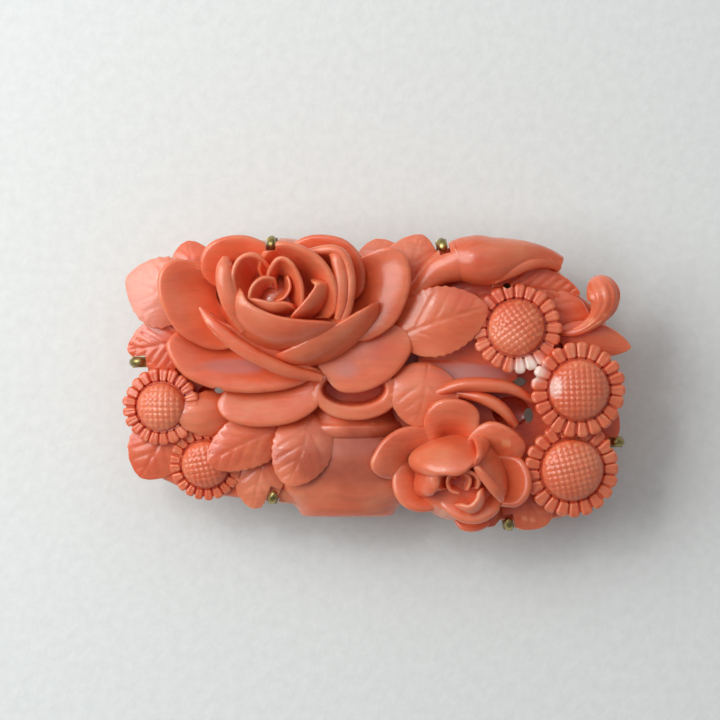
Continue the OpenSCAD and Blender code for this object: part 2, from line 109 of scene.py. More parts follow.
def around(points, n):
    """n points of a smooth closed curve through the listed ones."""
    p = np.asarray(points, float)
    ring = np.vstack([p[-2:], p, p[:3]])
    t = (2 + np.arange(n) * len(p) / n) / (len(ring) - 1)
    return spline(ring, t)


def unit(v):
    """The vectors of an array, each made one long."""
    return v / np.maximum(np.linalg.norm(v, axis=-1, keepdims=True), TINY)


def circle(count):
    """Angles of so many points round a circle."""
    return np.linspace(0, 2 * np.pi, count, endpoint=False)


def places(x, y, z):
    """One array of places from coordinates, some of which may be single numbers."""
    return np.stack(np.broadcast_arrays(x, y, z), -1)


def rings_solid(rings):
    """Vertices and faces of a solid skinned over rings of points, each end closed by a fan."""
    n, m, _ = rings.shape
    row, column = np.meshgrid(np.arange(n - 1), np.arange(m), indexing="ij")
    low, high, beside = row * m, (row + 1) * m, (column + 1) % m
    quads = np.stack([low + column, low + beside, high + beside, high + column], -1).reshape(-1, 4)
    faces = [tuple(q) for q in quads.tolist()]
    verts = np.vstack([rings.reshape(-1, 3), rings[0].mean(0), rings[-1].mean(0)])
    first, last = n * m, n * m + 1
    faces += [(first, (q + 1) % m, q) for q in range(m)]
    faces += [(last, (n - 1) * m + q, (n - 1) * m + (q + 1) % m) for q in range(m)]
    return verts, faces


def joined(parts):
    """Several solids that don't touch, as one set of vertices and faces."""
    verts, faces, start = [], [], 0
    for v, f in parts:
        verts.append(v)
        faces += [tuple(q + start for q in face) for face in f]
        start += len(v)
    return np.vstack(verts), faces


def outward(verts, faces):
    """The faces, turned so that the solid's volume counts as positive."""
    tri = np.array([(f[0], f[k], f[k + 1]) for f in faces for k in range(1, len(f) - 1)])
    a, b, c = verts[tri[:, 0]], verts[tri[:, 1]], verts[tri[:, 2]]
    volume = np.einsum("ij,ij->i", a, np.cross(b, c)).sum()
    return [tuple(reversed(f)) for f in faces] if volume < 0 else faces


def mesh_object(name, verts, faces, place=RELIEF):
    """A mesh object from vertices in mm over the coral's back, its place kept in its mesh."""
    verts = np.asarray(verts, float)
    mesh = bpy.data.meshes.new(name)
    mesh.from_pydata(((verts + [0, 0, BACK]) * MM).tolist(), [], outward(verts, faces))
    mesh.update()
    obj = bpy.data.objects.new(name, mesh)
    folder(place).objects.link(obj)
    return obj


def folder(name):
    """The collection of this name, made where there is none."""
    found = bpy.data.collections.get(name)
    if not found:
        found = bpy.data.collections.new(name)
        bpy.context.scene.collection.children.link(found)
    return found


def carve(obj, other, operation):
    """Lets obj be cut by the other solid, or joined with it, once it is settled."""
    change = obj.modifiers.new("carve", "BOOLEAN")
    change.operation = operation
    change.solver = "MANIFOLD"
    change.object = other


def boolean(obj, others, operation):
    """Cuts or joins solids with obj, and drops them."""
    for other in others:
        carve(obj, other, operation)
    settled(obj)
    for other in others:
        bpy.data.meshes.remove(other.data)
    return obj


def settled(obj):
    """Applies obj's modifiers to its mesh."""
    graph = bpy.context.evaluated_depsgraph_get()
    graph.update()
    new = bpy.data.meshes.new_from_object(obj.evaluated_get(graph), depsgraph=graph)
    old = obj.data
    obj.modifiers.clear()
    obj.data = new
    bpy.data.meshes.remove(old)
    return obj


def united(objs):
    """One solid of many, joined two by two."""
    while len(objs) > 1:
        pairs = list(zip(objs[::2], objs[1::2]))
        for a, b in pairs:
            carve(a, b, "UNION")
        for a, b in pairs:
            settled(a)
            bpy.data.meshes.remove(b.data)
        objs = objs[::2]
    return objs[0]


# Petals

# Columns of a petal's row: points of its rim anticlockwise round its hub, how far its root is from its rim
# (inwards below nought, for a petal that opens, and outwards for one that closes over the heart), the
# height of its root, the two numbers of its bow from root to rim, its thickness at the rim and at the
# root, and, where its two ends differ, how blunt each is and how its widest place leans to the second
RIM, ROOT, ROOT_Z, BOW, BOW_Z, EDGE, HEEL, BLUNT = range(8)

ROSE_HUB = (-9.6, 7.5)
HEART_HUB = (-9.9, 9.0)
BLOOM_HUB = (8.15, -10.0)
ROSE = [
    ([(-17.4, 12.1, 6.0), (-20.0, 12.1, 6.8), (-21.3, 10.5, 7.2), (-21.0, 7.8, 7.0), (-19.4, 5.2, 6.4),
      (-16.8, 3.4, 5.8)], -5.4, 4.0, 0.42, 0.62, 0.75, 1.6),
    ([(-10.8, 13.7, 6.2), (-13.3, 14.35, 6.5), (-15.7, 13.95, 6.6), (-17.0, 12.8, 6.4), (-17.4, 10.9, 6.0)],
     -4.2, 4.2, 0.40, 0.66, 0.75, 1.5),
    ([(-1.4, 9.3, 6.4), (-1.8, 12.1, 6.7), (-3.5, 13.95, 6.8), (-6.2, 14.4, 6.5), (-8.6, 13.7, 6.2)],
     -4.2, 4.2, 0.40, 0.66, 0.75, 1.5),
    ([(-0.3, 4.4, 6.4), (1.8, 6.5, 6.9), (3.0, 9.8, 7.5), (2.5, 12.5, 7.5), (0.8, 13.4, 7.3),
      (-1.5, 12.7, 6.6)], -5.8, 4.0, 0.34, 0.80, 0.75, 1.6),
    ([(-5.2, 0.6, 5.3), (-3.9, -0.6, 5.6), (-1.4, -0.6, 5.7), (1.3, 0.8, 5.7), (3.1, 3.1, 5.6),
      (3.3, 4.9, 5.5)], -5.6, 4.9, 0.42, 0.80, 0.7, 1.4),
    ([(-20.0, 5.2, 5.4), (-20.6, 3.7, 5.8), (-19.1, 1.3, 6.0), (-16.5, 0.0, 6.0), (-13.2, -0.5, 6.0),
      (-9.9, -0.3, 5.8), (-6.8, 0.3, 5.5)], -5.4, 3.6, 0.42, 0.55, 0.8, 1.6),
    ([(-15.3, -0.9, 4.3), (-15.9, -2.0, 4.8), (-14.9, -3.4, 5.2), (-12.1, -4.1, 5.4), (-8.5, -3.7, 5.4),
      (-6.1, -2.3, 5.2), (-5.5, -0.8, 4.9)], -3.9, 4.0, 0.42, 0.85, 0.55, 1.1),
    ([(-17.0, 7.0, 7.0), (-14.6, 5.6, 7.3), (-11.2, 3.8, 7.2), (-7.8, 2.2, 6.6), (-5.6, 1.2, 5.8)],
     2.0, 4.0, 0.0, 1.02, 0.5, 1.2),
    ([(-10.2, 2.7, 7.4), (-7.8, 3.6, 8.3), (-4.6, 5.3, 8.9), (-2.0, 6.8, 9.0), (-0.3, 8.0, 8.7)],
     3.2, 4.0, 0.10, 0.92, 0.5, 1.2),
    ([(-14.4, 12.0, 8.6), (-14.2, 11.0, 8.8), (-14.2, 9.5, 8.8), (-13.8, 7.8, 8.4), (-13.0, 6.2, 7.8)],
     2.0, 4.4, 0.0, 1.02, 0.5, 1.2),
    ([(-3.7, 5.9, 8.6), (-3.1, 8.2, 9.2), (-3.0, 10.7, 9.6), (-3.9, 12.7, 9.7), (-6.4, 12.8, 9.2)],
     -3.0, 5.0, 0.55, 0.45, 0.95, 1.4),
    ([(-4.2, 7.5, 9.2), (-4.5, 9.7, 9.9), (-5.7, 11.8, 10.2), (-7.8, 13.1, 10.4), (-9.7, 13.4, 10.3),
      (-11.2, 12.5, 9.7)], -2.6, 6.0, 0.50, 0.55, 0.7, 1.0),
    ([(-11.2, 12.0, 9.6), (-12.3, 12.5, 9.8), (-13.4, 12.1, 9.8), (-14.0, 10.7, 9.7), (-13.8, 8.6, 9.4)],
     -2.0, 6.2, 0.55, 0.45, 0.5, 0.9),
]
HEART = [
    ([(-13.6, 9.6, 9.6), (-12.9, 7.9, 10.2), (-10.3, 6.5, 10.5), (-7.0, 6.0, 10.4), (-3.8, 6.0, 9.7)],
     3.6, 4.8, 0.14, 0.84, 0.5, 1.0),
    ([(-8.7, 6.2, 9.9), (-7.4, 7.5, 10.3), (-6.3, 8.9, 10.4), (-5.9, 9.8, 10.3), (-6.5, 10.3, 9.9)],
     2.0, 6.8, 0.10, 0.86, 0.4, 0.9),
    ([(-7.5, 7.8, 10.1), (-7.7, 9.8, 10.5), (-8.5, 11.5, 10.8), (-9.5, 12.1, 10.8), (-10.5, 11.1, 10.3)],
     -1.4, 7.4, 0.50, 0.55, 0.5, 0.8),
    ([(-10.3, 10.3, 9.9), (-11.3, 10.2, 10.1), (-12.1, 9.5, 10.1), (-12.5, 8.4, 9.8)],
     -1.1, 7.6, 0.50, 0.55, 0.4, 0.7),
    ([(-13.2, 8.5, 9.6), (-11.7, 8.1, 10.0), (-10.3, 7.8, 10.1), (-9.0, 7.8, 10.1), (-7.8, 7.2, 9.9)],
     1.4, 6.8, 0.10, 0.86, 0.4, 0.9),
    ([(-10.1, 8.1, 9.4), (-9.2, 8.6, 9.8), (-8.7, 9.5, 9.9), (-8.9, 10.5, 9.8)],
     -0.6, 7.8, 0.50, 0.50, 0.3, 0.6),
]
BLOOM = [
    ([(10.3, -4.5, 5.4), (10.2, -3.3, 6.0), (9.2, -2.4, 6.3), (7.8, -2.0, 6.4), (6.2, -2.2, 6.3),
      (5.2, -3.1, 5.9), (4.7, -4.1, 5.3)], -3.4, 4.0, 0.40, 0.85, 0.8, 1.4),
    ([(14.5, -7.6, 5.2), (14.6, -6.5, 5.9), (13.8, -5.4, 6.2), (12.4, -4.5, 6.3), (11.0, -4.2, 6.1),
      (9.8, -4.6, 5.6)], -3.0, 4.0, 0.40, 0.85, 0.8, 1.4),
    ([(12.8, -12.1, 5.2), (14.0, -11.9, 5.6), (14.8, -10.8, 6.0), (14.8, -9.2, 6.0), (14.1, -7.9, 5.7),
      (13.1, -7.4, 5.2)], -2.2, 3.8, 0.50, 0.60, 0.8, 1.3),
    ([(5.9, -10.9, 5.0), (6.8, -12.2, 5.7), (8.5, -13.4, 6.1), (10.3, -13.5, 6.1), (11.8, -12.6, 5.8),
      (12.3, -11.6, 5.2)], -2.8, 4.6, 0.45, 0.70, 0.8, 1.3),
    ([(7.6, -13.4, 2.9), (8.5, -14.45, 3.3), (9.9, -14.6, 3.4), (11.3, -14.15, 3.1)],
     -1.9, 2.6, 0.50, 0.60, 0.6, 1.1),
    ([(2.8, -7.7, 4.4), (2.1, -9.2, 4.9), (2.2, -10.8, 5.1), (3.1, -12.1, 5.1), (4.7, -12.7, 4.9),
      (6.6, -12.5, 4.4)], -2.6, 3.4, 0.45, 0.80, 0.8, 1.3),
    ([(4.4, -4.4, 5.2), (2.5, -4.9, 5.7), (0.9, -6.1, 5.9), (-0.1, -7.9, 5.9), (0.0, -9.0, 5.4),
      (0.8, -9.6, 4.6), (1.9, -9.7, 4.0)], -3.6, 3.6, 0.42, 0.80, 0.8, 1.4),
    ([(9.7, -5.7, 6.7), (10.0, -6.9, 8.2), (9.3, -8.1, 9.0), (8.0, -8.8, 9.1), (6.4, -9.0, 8.8),
      (5.4, -9.4, 8.2)], 3.8, 4.8, 0.30, 0.88, 0.6, 1.0, (0.04, 0.25, 1.9)),
    ([(12.3, -11.6, 6.0), (11.4, -10.4, 7.2), (10.4, -9.2, 7.8), (9.8, -8.1, 7.8), (9.7, -7.1, 7.2),
      (9.8, -6.2, 6.2)], 2.7, 4.4, 0.35, 0.95, 0.7, 1.0, (0.2, 0.1, 1.0)),
    ([(5.4, -9.0, 7.9), (5.9, -10.2, 8.0), (5.6, -11.2, 7.4)], 2.2, 4.4, 0.30, 0.88, 0.6, 1.0),
    ([(7.9, -12.1, 7.0), (9.2, -12.5, 7.4), (10.2, -11.7, 7.6), (10.6, -10.3, 7.6)],
     0.9, 4.6, 0.10, 0.90, 0.6, 0.9),
    ([(10.0, -10.3, 7.5), (9.9, -9.4, 7.9), (8.9, -8.9, 8.0), (7.5, -8.8, 7.9)],
     -0.8, 5.4, 0.60, 0.40, 0.4, 0.6),
    ([(7.3, -9.2, 7.8), (6.4, -9.3, 8.0), (6.3, -10.4, 7.6)], -0.9, 5.4, 0.60, 0.60, 0.8, 0.8),
    ([(9.0, -10.4, 7.3), (9.1, -9.5, 7.5), (8.2, -9.0, 7.6), (7.3, -9.5, 7.5), (7.4, -10.4, 7.3),
      (8.1, -10.8, 7.3)], -0.5, 5.6, 0.55, 0.45, 0.4, 0.5),
]


# Flowers of petals: name, rows, hub, points a mm of rim, points from root to rim, bluntness of the ends
FLOWERS = (
    ("rose", ROSE, ROSE_HUB, 3.2, 14, 0.15),
    ("heart", HEART, HEART_HUB, 4.5, 12, 0.15),
    ("bloom", BLOOM, BLOOM_HUB, 4.0, 11, 0.32),
)
# Fewest points along a petal's rim, and the least distance of its root from the hub, in mm
LEAST_POINTS = 14
LEAST_ROOT = 0.25
# How far a rim runs on past its listed ends, as a share, on a petal that opens and on one that closes
RUN_ON_OPEN, RUN_ON_CLOSED = 0.13, 0.03
# How far to either side of a place the slope of its rim is measured, as a share of the rim
SLOPE_STEP = 0.01
# How squarely a petal's outline ends, how narrow it gets there, and how low its rim is there
END_POWER, END_WIDTH = 9, 0.02
END_HEIGHT, END_RISE = 0.4, 0.6
# The same for its thickness, and how that grows from the heel to the edge
TAPER_POWER, TAPER_WIDTH = 6, 0.06
THICKNESS_POWER = 0.6
# Steps of the rounding between face and back
RIM_STEPS = 5


def bowed(v, pull):
    """Way along a bow from 0 to 1, pulled up or down in its middle."""
    return 2 * (1 - v) * v * pull + v * v


def petal(name, row, hub, along, across, blunt):
    """A shell with a rounded rim, whose face runs from root to rim on a bow, and whose back follows it."""
    n = max(int(along * rim_length(row[RIM])), LEAST_POINTS)
    opens = row[ROOT] < 0
    # The rim runs on a little past its listed ends, where the petal rounds off
    run_on = RUN_ON_OPEN if opens else RUN_ON_CLOSED
    t = np.linspace(-run_on, 1 + run_on, n)
    inside = np.clip(t, 0, 1)
    step = 2 * SLOPE_STEP
    slope = (spline(row[RIM], inside + SLOPE_STEP) - spline(row[RIM], inside - SLOPE_STEP)) / step
    slope[inside == 0] = (spline(row[RIM], [step]) - spline(row[RIM], [0.0])) / step
    slope[inside == 1] = (spline(row[RIM], [1.0]) - spline(row[RIM], [1 - step])) / step
    top = spline(row[RIM], inside) + slope * (t - inside)[:, None]
    u = np.linspace(0, 1, n)
    v = np.linspace(0, 1, across)
    away = top[:, :2] - hub
    reach = np.linalg.norm(away, axis=1, keepdims=True)
    away = away / reach
    swell = np.sin(np.pi * u)[:, None]
    if len(row) > BLUNT:
        first, last, leaning = row[BLUNT]
        blunt = (first + (last - first) * u)[:, None]
        swell = np.sin(np.pi * u ** leaning)[:, None]
    root = np.maximum(reach + row[ROOT] * (1 if opens else blunt + (1 - blunt) * swell), LEAST_ROOT)
    rounding = np.sqrt(np.clip(1 - np.abs(2 * u - 1) ** END_POWER, END_WIDTH, 1))[:, None]
    if opens:
        reach = root + (reach - root) * rounding
    top[:, 2:] = row[ROOT_Z] + (top[:, 2:] - row[ROOT_Z]) * (END_HEIGHT + END_RISE * rounding)
    distance = root + (reach - root) * bowed(v, row[BOW])[None]
    face = np.empty((n, across, 3))
    face[..., :2] = hub + away[:, None] * distance[..., None]
    face[..., 2] = row[ROOT_Z] + (top[:, 2:] - row[ROOT_Z]) * bowed(v, row[BOW_Z])[None]
    normal = unit(np.cross(np.gradient(face, axis=0), np.gradient(face, axis=1)))
    if normal[..., 2].mean() < 0:
        normal = -normal
    taper = np.sqrt(np.clip(1 - (2 * u - 1) ** TAPER_POWER, TAPER_WIDTH, 1))[:, None]
    thick = (row[HEEL] + (row[EDGE] - row[HEEL]) * v[None] ** THICKNESS_POWER) * taper
    back = face - normal * thick[..., None]
    # Rounded rim between face and back
    half = thick[:, -1:] / 2
    middle = face[:, -1] - normal[:, -1] * half
    over = unit(face[:, -1] - face[:, -2])
    turn = np.pi * (np.arange(1, RIM_STEPS) / RIM_STEPS)
    rim = middle[:, None] + half[..., None] * (
        normal[:, -1][:, None] * np.cos(turn)[None, :, None] + over[:, None] * np.sin(turn)[None, :, None])
    rings = np.concatenate([face, rim, back[:, ::-1]], axis=1)
    return mesh_object(name, *rings_solid(rings))


# Rolled rims of the roses: places with a radius each
BANDS = [
    [(-17.6, 7.5, 7.6, 0.15), (-16.2, 5.8, 7.9, 0.6), (-13.9, 3.8, 7.9, 0.72), (-11.35, 2.3, 7.6, 0.72),
     (-8.6, 1.15, 7.0, 0.64), (-5.5, 0.5, 6.1, 0.4)],
    [(-15.0, 12.5, 9.0, 0.3), (-15.1, 11.4, 9.3, 0.8), (-15.0, 10.0, 9.3, 0.95), (-14.7, 8.6, 9.1, 0.92),
     (-14.2, 7.2, 8.7, 0.82), (-13.2, 5.2, 8.1, 0.45)],
    [(12.5, -11.7, 6.7, 0.3), (11.9, -10.8, 7.5, 0.52), (11.0, -9.7, 8.0, 0.5), (10.2, -8.7, 8.3, 0.42),
     (9.4, -7.7, 8.2, 0.2)],
    [(-4.6, 13.0, 9.1, 0.3), (-3.9, 12.2, 9.4, 0.7), (-3.5, 10.2, 9.4, 0.68), (-3.45, 8.1, 9.1, 0.6),
     (-3.9, 6.4, 8.7, 0.3)],
]


def rim_length(points):
    """Length of the straight pieces between the points, in mm."""
    p = np.asarray(points, float)
    return np.linalg.norm(np.diff(p, axis=0), axis=1).sum()


def turned(rows, at, sides=48, squash=(1, 1)):
    """A turned solid about an upright line: rows of radius and height, from the foot to the crown."""
    a = circle(sides)
    return rings_solid(np.stack([
        places(at[0] + r * squash[0] * np.cos(a), at[1] + r * squash[1] * np.sin(a), float(z))
        for r, z in np.asarray(rows, float)]))


# Daisies

# Columns of the daisies: centre, radius of the button, radius over the ray petals, their height, height of
# the button's crown, tilt, the side that it is tilted down to, and the turn of the cross-hatching
DAISIES = [
    ((-21.65, -2.4), 2.40, 3.95, 3.9, 1.45, 8, 200, 0),
    ((-17.2, -8.2), 2.40, 3.75, 2.9, 1.4, 12, 250, 12),
    ((14.0, 5.5), 2.80, 4.55, 5.6, 1.5, 6, 120, 35),
    ((20.2, -0.7), 3.0, 4.80, 6.4, 1.7, 5, 0, 2),
    ((19.6, -8.7), 3.1, 4.85, 5.0, 1.7, 9, 310, 14),
]


# Where the dome is sampled across a square of the hatching, and a cut line's width, as shares of the pitch
HATCH_SAMPLES = np.array([0.0, 0.2, 0.5, 0.8])
HATCH_LINE = 0.19
# How far round the dome goes before the button's edge, and depth of the block under it, in mm
DOME = 0.97
BLOCK_FOOT = -1.2
# What a button is trimmed to: shares of its radius with heights in mm, then with shares of its crown
TRIM_FOOT = [(0.98, -1.1), (1, -0.2)]
TRIM = [(0.985, 0.25), (0.93, 0.5), (0.80, 1.0), (0.6, 1.6)]
# Ray petals differ a little: in place round the ring, length, width and the fall of the tip
RAY_PLACE, RAY_LENGTH, RAY_WIDTH, RAY_FALL = (-0.06, 0.06), (0.93, 1.03), (0.76, 0.87), (-0.12, 0.06)
# Stations along a ray petal and across it
RAY_ALONG = np.array([0, 0.06, 0.2, 0.45, 0.7, 0.84, 0.93, 0.98, 1.0])
RAY_ACROSS = np.array([-1, -0.9, -0.68, -0.35, 0, 0.35, 0.68, 0.9, 1])
RAY_UNDER = np.array([0.9, 0, -0.9])
# A ray petal's section: height in mm and how square it is, and its groove's depth in mm and width
RAY_HEIGHT, RAY_POWER, GROOVE_DEPTH, GROOVE_WIDTH = 0.24, 0.8, 0.10, 0.35
# Its width at the root, how much it gains, and the share of its length in which it does
RAY_ROOT, RAY_GAIN, RAY_WIDEST = 0.66, 0.34, 0.75
# Where its tip starts to round off, over what share of the length, how squarely, and the least width left
TIP_FROM, TIP_SPAN, TIP_POWER, TIP_LEAST = 0.72, 0.30, 2.6, 0.02
# Where its tip starts to droop, over what share of the length and how far, and the root's drop, in mm
DROOP_FROM, DROOP_SPAN, DROOP, ROOT_DROP = 0.78, 0.22, -0.26, 0.15
# Its underside is a little shorter, and lies this deep, in mm
UNDER_LENGTH, UNDER_DEPTH = 0.97, -1.0
# A daisy's disc under its rays: shares of its outer radius with heights in mm, then a share of the button's
DISC = [(0.62, -2.6), (0.86, -1.6), (0.93, -0.6), (0.91, -0.18)]
DISC_TOP, DISC_TOP_Z = 0.9, -0.28
# A daisy's stalk: shares of its outer radius, how far it ends under the rays, and its least height, in mm
STALK = [(0.8, 9.0, FOOT), (0.74, 1.9, 1.0), (0.3, 1.4, 1.4)]
# The drilled dots between button and rays: how far out from the button, and radii with heights, in mm
DOT_OUT = 0.24
DOT = [(0.08, -0.62), (0.15, -0.25), (0.22, 0.4)]
# How far out from the button the ray petals start, in mm, and the seed of their small differences
RAYS_OUT = 0.22
DAISY_SEED = 7


def button(radius, crown, turn, pitch, depth):
    """A domed button, cross-hatched with cut lines, as a block of relief trimmed to a round."""
    cells = int(math.ceil(radius / pitch)) + 1
    line = np.concatenate([(k + HATCH_SAMPLES) * pitch for k in range(-cells, cells)] + [[cells * pitch]])
    x, y = np.meshgrid(line, line, indexing="ij")
    far = np.minimum(np.hypot(x, y) / radius, 1)
    cut = lambda t: np.exp(-((np.abs((t / pitch + 0.5) % 1 - 0.5) * pitch / (HATCH_LINE * pitch)) ** 2))
    z = crown * np.sqrt(np.clip(1 - (far * DOME) ** 2, 0, 1)) - depth * np.maximum(cut(x), cut(y))
    a = math.radians(turn)
    px, py = x * math.cos(a) - y * math.sin(a), x * math.sin(a) + y * math.cos(a)
    top = places(px, py, z)
    low = top.copy()
    low[..., 2] = BLOCK_FOOT
    n = len(line)
    index = np.arange(n * n).reshape(n, n)
    quads = np.stack([index[:-1, :-1], index[1:, :-1], index[1:, 1:], index[:-1, 1:]], -1).reshape(-1, 4)
    ring = np.concatenate([index[0, :], index[1:, -1], index[-1, -2::-1], index[-2:0:-1, 0]])
    # The block's floor and wall hang from the ring round its top
    edge = ring.tolist()
    floor = list(range(n * n, n * n + len(edge)))
    faces = [tuple(q) for q in quads.tolist()] + [tuple(floor)]
    faces += list(zip(edge[1:] + edge[:1], floor[1:] + floor[:1], floor, edge))
    verts = np.vstack([top.reshape(-1, 3), low.reshape(-1, 3)[ring]])
    block = mesh_object("button", verts, faces)
    profile = [(radius * out, up) for out, up in TRIM_FOOT]
    profile += [(radius * out, up * crown) for out, up in TRIM]
    return boolean(block, [mesh_object("trim", *turned(profile, (0, 0), sides=64))], "INTERSECT")


def ray_petals(inner, outer, count, dice):
    """Ray petals in a ring, each a rounded oblong with a shallow groove down its middle."""
    petals = []
    s, w = RAY_ALONG, RAY_ACROSS
    shell = RAY_HEIGHT * np.sqrt(np.clip(1 - w**2, 0, 1)) ** RAY_POWER
    shell = shell - GROOVE_DEPTH * np.exp(-((w / GROOVE_WIDTH) ** 2))
    for k in range(count):
        a = 2 * np.pi * (k + dice.uniform(*RAY_PLACE)) / count
        length = (outer - inner) * dice.uniform(*RAY_LENGTH)
        wide = np.pi * outer / count * dice.uniform(*RAY_WIDTH)
        fall = dice.uniform(*RAY_FALL)
        # It widens for three quarters of its length, rounds off at its tip, and is narrower at its root
        spread = RAY_ROOT + RAY_GAIN * np.minimum(s / RAY_WIDEST, 1)
        tip = np.sqrt(np.clip(1 - np.clip((s - TIP_FROM) / TIP_SPAN, 0, 1) ** TIP_POWER, TIP_LEAST, 1))
        half = wide * spread * tip
        half[0] *= RAY_WIDEST
        rings = []
        for q in range(len(s)):
            droop = DROOP * max(0, (s[q] - DROOP_FROM) / DROOP_SPAN) ** 2 - (ROOT_DROP if q == 0 else 0)
            top = places(inner + length * s[q], w * half[q], shell + droop + fall * s[q])
            low = places(inner + length * s[q] * UNDER_LENGTH, RAY_UNDER * half[q], UNDER_DEPTH)
            rings.append(np.vstack([top, low]))
        verts, faces = rings_solid(np.array(rings))
        c, d = np.cos(a), np.sin(a)
        x, y, z = verts.T
        petals.append((places(x * c - y * d, x * d + y * c, z), faces))
    return joined(petals)


def daisy(row, sizes, dice):
    """A daisy: ray petals on a disc round a button, with drilled dots between, tilted on its stalk."""
    at, button_r, outer, height, crown, tilt, tilt_to, turn = row
    count = sizes.rays
    disc = [(outer * share, z) for share, z in DISC] + [(button_r * DISC_TOP, DISC_TOP_Z)]
    flower = united([
        mesh_object("rays", *ray_petals(button_r + RAYS_OUT, outer, count, dice)),
        mesh_object("disc", *turned(disc, (0, 0), sides=56)),
        button(button_r, crown, turn, sizes.hatch_pitch / MM, sizes.hatch_depth / MM),
    ])
    dots = []
    for k in range(count):
        a = 2 * np.pi * (k + 0.5) / count
        spot = ((button_r + DOT_OUT) * np.cos(a), (button_r + DOT_OUT) * np.sin(a))
        dots.append(turned(DOT, spot, sides=8))
    boolean(flower, [mesh_object("holes", *joined(dots))], "DIFFERENCE")
    to = math.radians(tilt_to)
    lean = Matrix.Rotation(math.radians(tilt), 4, Vector((-math.sin(to), math.cos(to), 0)))
    base = Matrix.Translation((0, 0, BACK * MM))
    move = Matrix.Translation(Vector((at[0], at[1], height)) * MM)
    flower.data.transform(base @ move @ lean @ base.inverted())
    stalk = [(outer * share, max(height - below, least)) for share, below, least in STALK]
    mesh_object("stalk", *turned(stalk, at, sides=40))


# Leaves

# Columns of the leaves: base and tip of the rib, half width, sideways bow of the rib, arch of the rib, drop
# of the sides below the rib, how pointed its ends are, teeth, side veins and depth of the veins
LEAVES = [
    ((-18.2, 8.2, 4.4), (-25.2, 10.5, 3.7), 3.6, 0.2, 0.8, 0.5, 0.66, 9, 3, 0.07),
    ((-18.1, 10.1, 3.8), (-19.0, 14.3, 3.3), 2.1, 0.0, 0.4, 0.3, 0.55, 5, 2, 0.05),
    ((-18.2, 4.9, 3.4), (-25.1, 3.3, 2.8), 2.8, 0.2, 0.6, 0.4, 0.66, 6, 5, 0.20),
    ((-20.8, -4.3, 2.8), (-23.8, -9.6, 2.0), 2.9, 0.0, 0.5, 0.4, 0.58, 6, 3, 0.12),
    ((-11.3, -7.0, 3.0), (-12.5, -12.7, 2.2), 2.5, 0.0, 0.5, 0.4, 0.58, 6, 3, 0.10),
    ((-14.0, -2.6, 3.4), (-20.0, -3.4, 4.5), 2.2, 0.1, 0.6, 0.6, 0.5, 6, 2, 0.04),
    ((-8.6, -4.2, 3.2), (-16.9, -8.0, 4.4), 2.7, -0.3, 0.7, 0.4, 0.5, 12, 5, 0.10),
    ((-6.6, -3.0, 3.6), (-8.9, -10.3, 4.7), 3.0, 0.3, 0.9, 0.4, 0.52, 10, 4, 0.09),
    ((2.0, 4.6, 5.0), (11.1, 7.6, 5.8), 3.4, 0.2, 0.9, 0.5, 0.58, 12, 4, 0.09),
    ((5.2, 2.0, 4.5), (3.9, -4.4, 5.0), 3.5, 0.2, 0.8, 0.5, 0.52, 10, 3, 0.08),
    ((2.8, 8.9, 4.2), (4.6, 14.9, 3.8), 2.8, 0.2, 0.5, 0.4, 0.58, 7, 3, 0.07),
    ((0.7, 10.8, 3.4), (-0.1, 14.5, 3.1), 2.4, 0.0, 0.4, 0.3, 0.55, 5, 2, 0.05),
    ((11.6, 9.5, 3.8), (20.5, 9.0, 3.0), 2.3, 0.2, 0.6, 0.2, 0.66, 8, 7, 0.20),
    ((18.0, 5.0, 4.2), (25.6, 3.55, 3.6), 1.7, 0.1, 0.4, 0.3, 0.66, 0, 2, 0.05),
    ((15.9, 8.6, 3.4), (21.9, 5.0, 3.0), 2.2, 0.0, 0.5, 0.3, 0.66, 3, 3, 0.08),
    ((13.9, -10.3, 3.0), (17.2, -14.35, 2.4), 2.9, 0.0, 0.5, 0.4, 0.58, 5, 3, 0.09),
    ((21.4, -2.0, 3.6), (24.2, -5.6, 2.8), 1.7, 0.0, 0.4, 0.3, 0.66, 3, 2, 0.05),
    ((10.2, -11.5, 2.6), (11.9, -14.45, 2.1), 2.0, 0.0, 0.3, 0.3, 0.66, 4, 2, 0.05),
    ((4.2, 2.4, 3.4), (14.2, 0.6, 3.0), 2.6, 0.5, 0.3, -0.5, 0.66, 0, 0, 0.10),
    ((6.0, 8.6, 3.2), (13.5, 8.2, 3.2), 2.2, 0.2, 0.3, 0.2, 0.66, 0, 3, 0.10),
    ((21.3, 0.5, 3.0), (22.9, -9.0, 2.6), 1.7, 0.2, 0.3, 0.3, 0.66, 5, 3, 0.08),
]


# Points a mm on a leaf, and the fewest along and across it
LEAF_DETAIL = 5.0
FEWEST_ALONG, FEWEST_ACROSS = 14, 8
# A leaf's widest place lies a little towards its tip below one
WIDEST = 0.88
# Depth and phase of the teeth, and the share of the leaf at its base that has none
TOOTH, TOOTH_PHASE, TOOTH_MEAN, TOOTHLESS = 0.085, 0.35, 0.3, 0.25
# Widths of the rib and of a side vein, in mm, how much deeper the rib is, and how steeply the veins run out
RIB_WIDTH, VEIN_WIDTH, RIB_DEPTH, VEIN_LEAN = 0.16, 0.14, 0.9, 1.1
# Thickness of the edge, how far it stands out, and the hollow of the back, in mm
LEAF_EDGE, EDGE_OUT, LEAF_HOLLOW = 0.45, 0.10, 0.6
# How a leaf's sides fall: evenly at one, and more towards the edge above it
SIDE_POWER = 1.8
# How much more the teeth show at the very edge
TOOTH_POWER = 3
# Least width of a leaf at its ends, and least thickness of its edge, as shares
LEAST_PLAN, LEAST_EDGE = 0.05, 0.3
# How fast the rib's groove fades at the tip, and where and how fast a side vein fades towards the edge
RIB_FADE, VEIN_END, VEIN_FADE = 5, 0.88, 6
# How much of its width the hollowed back has, and points across it
BACK_SHARE, BACK_POINTS = 0.96, 5
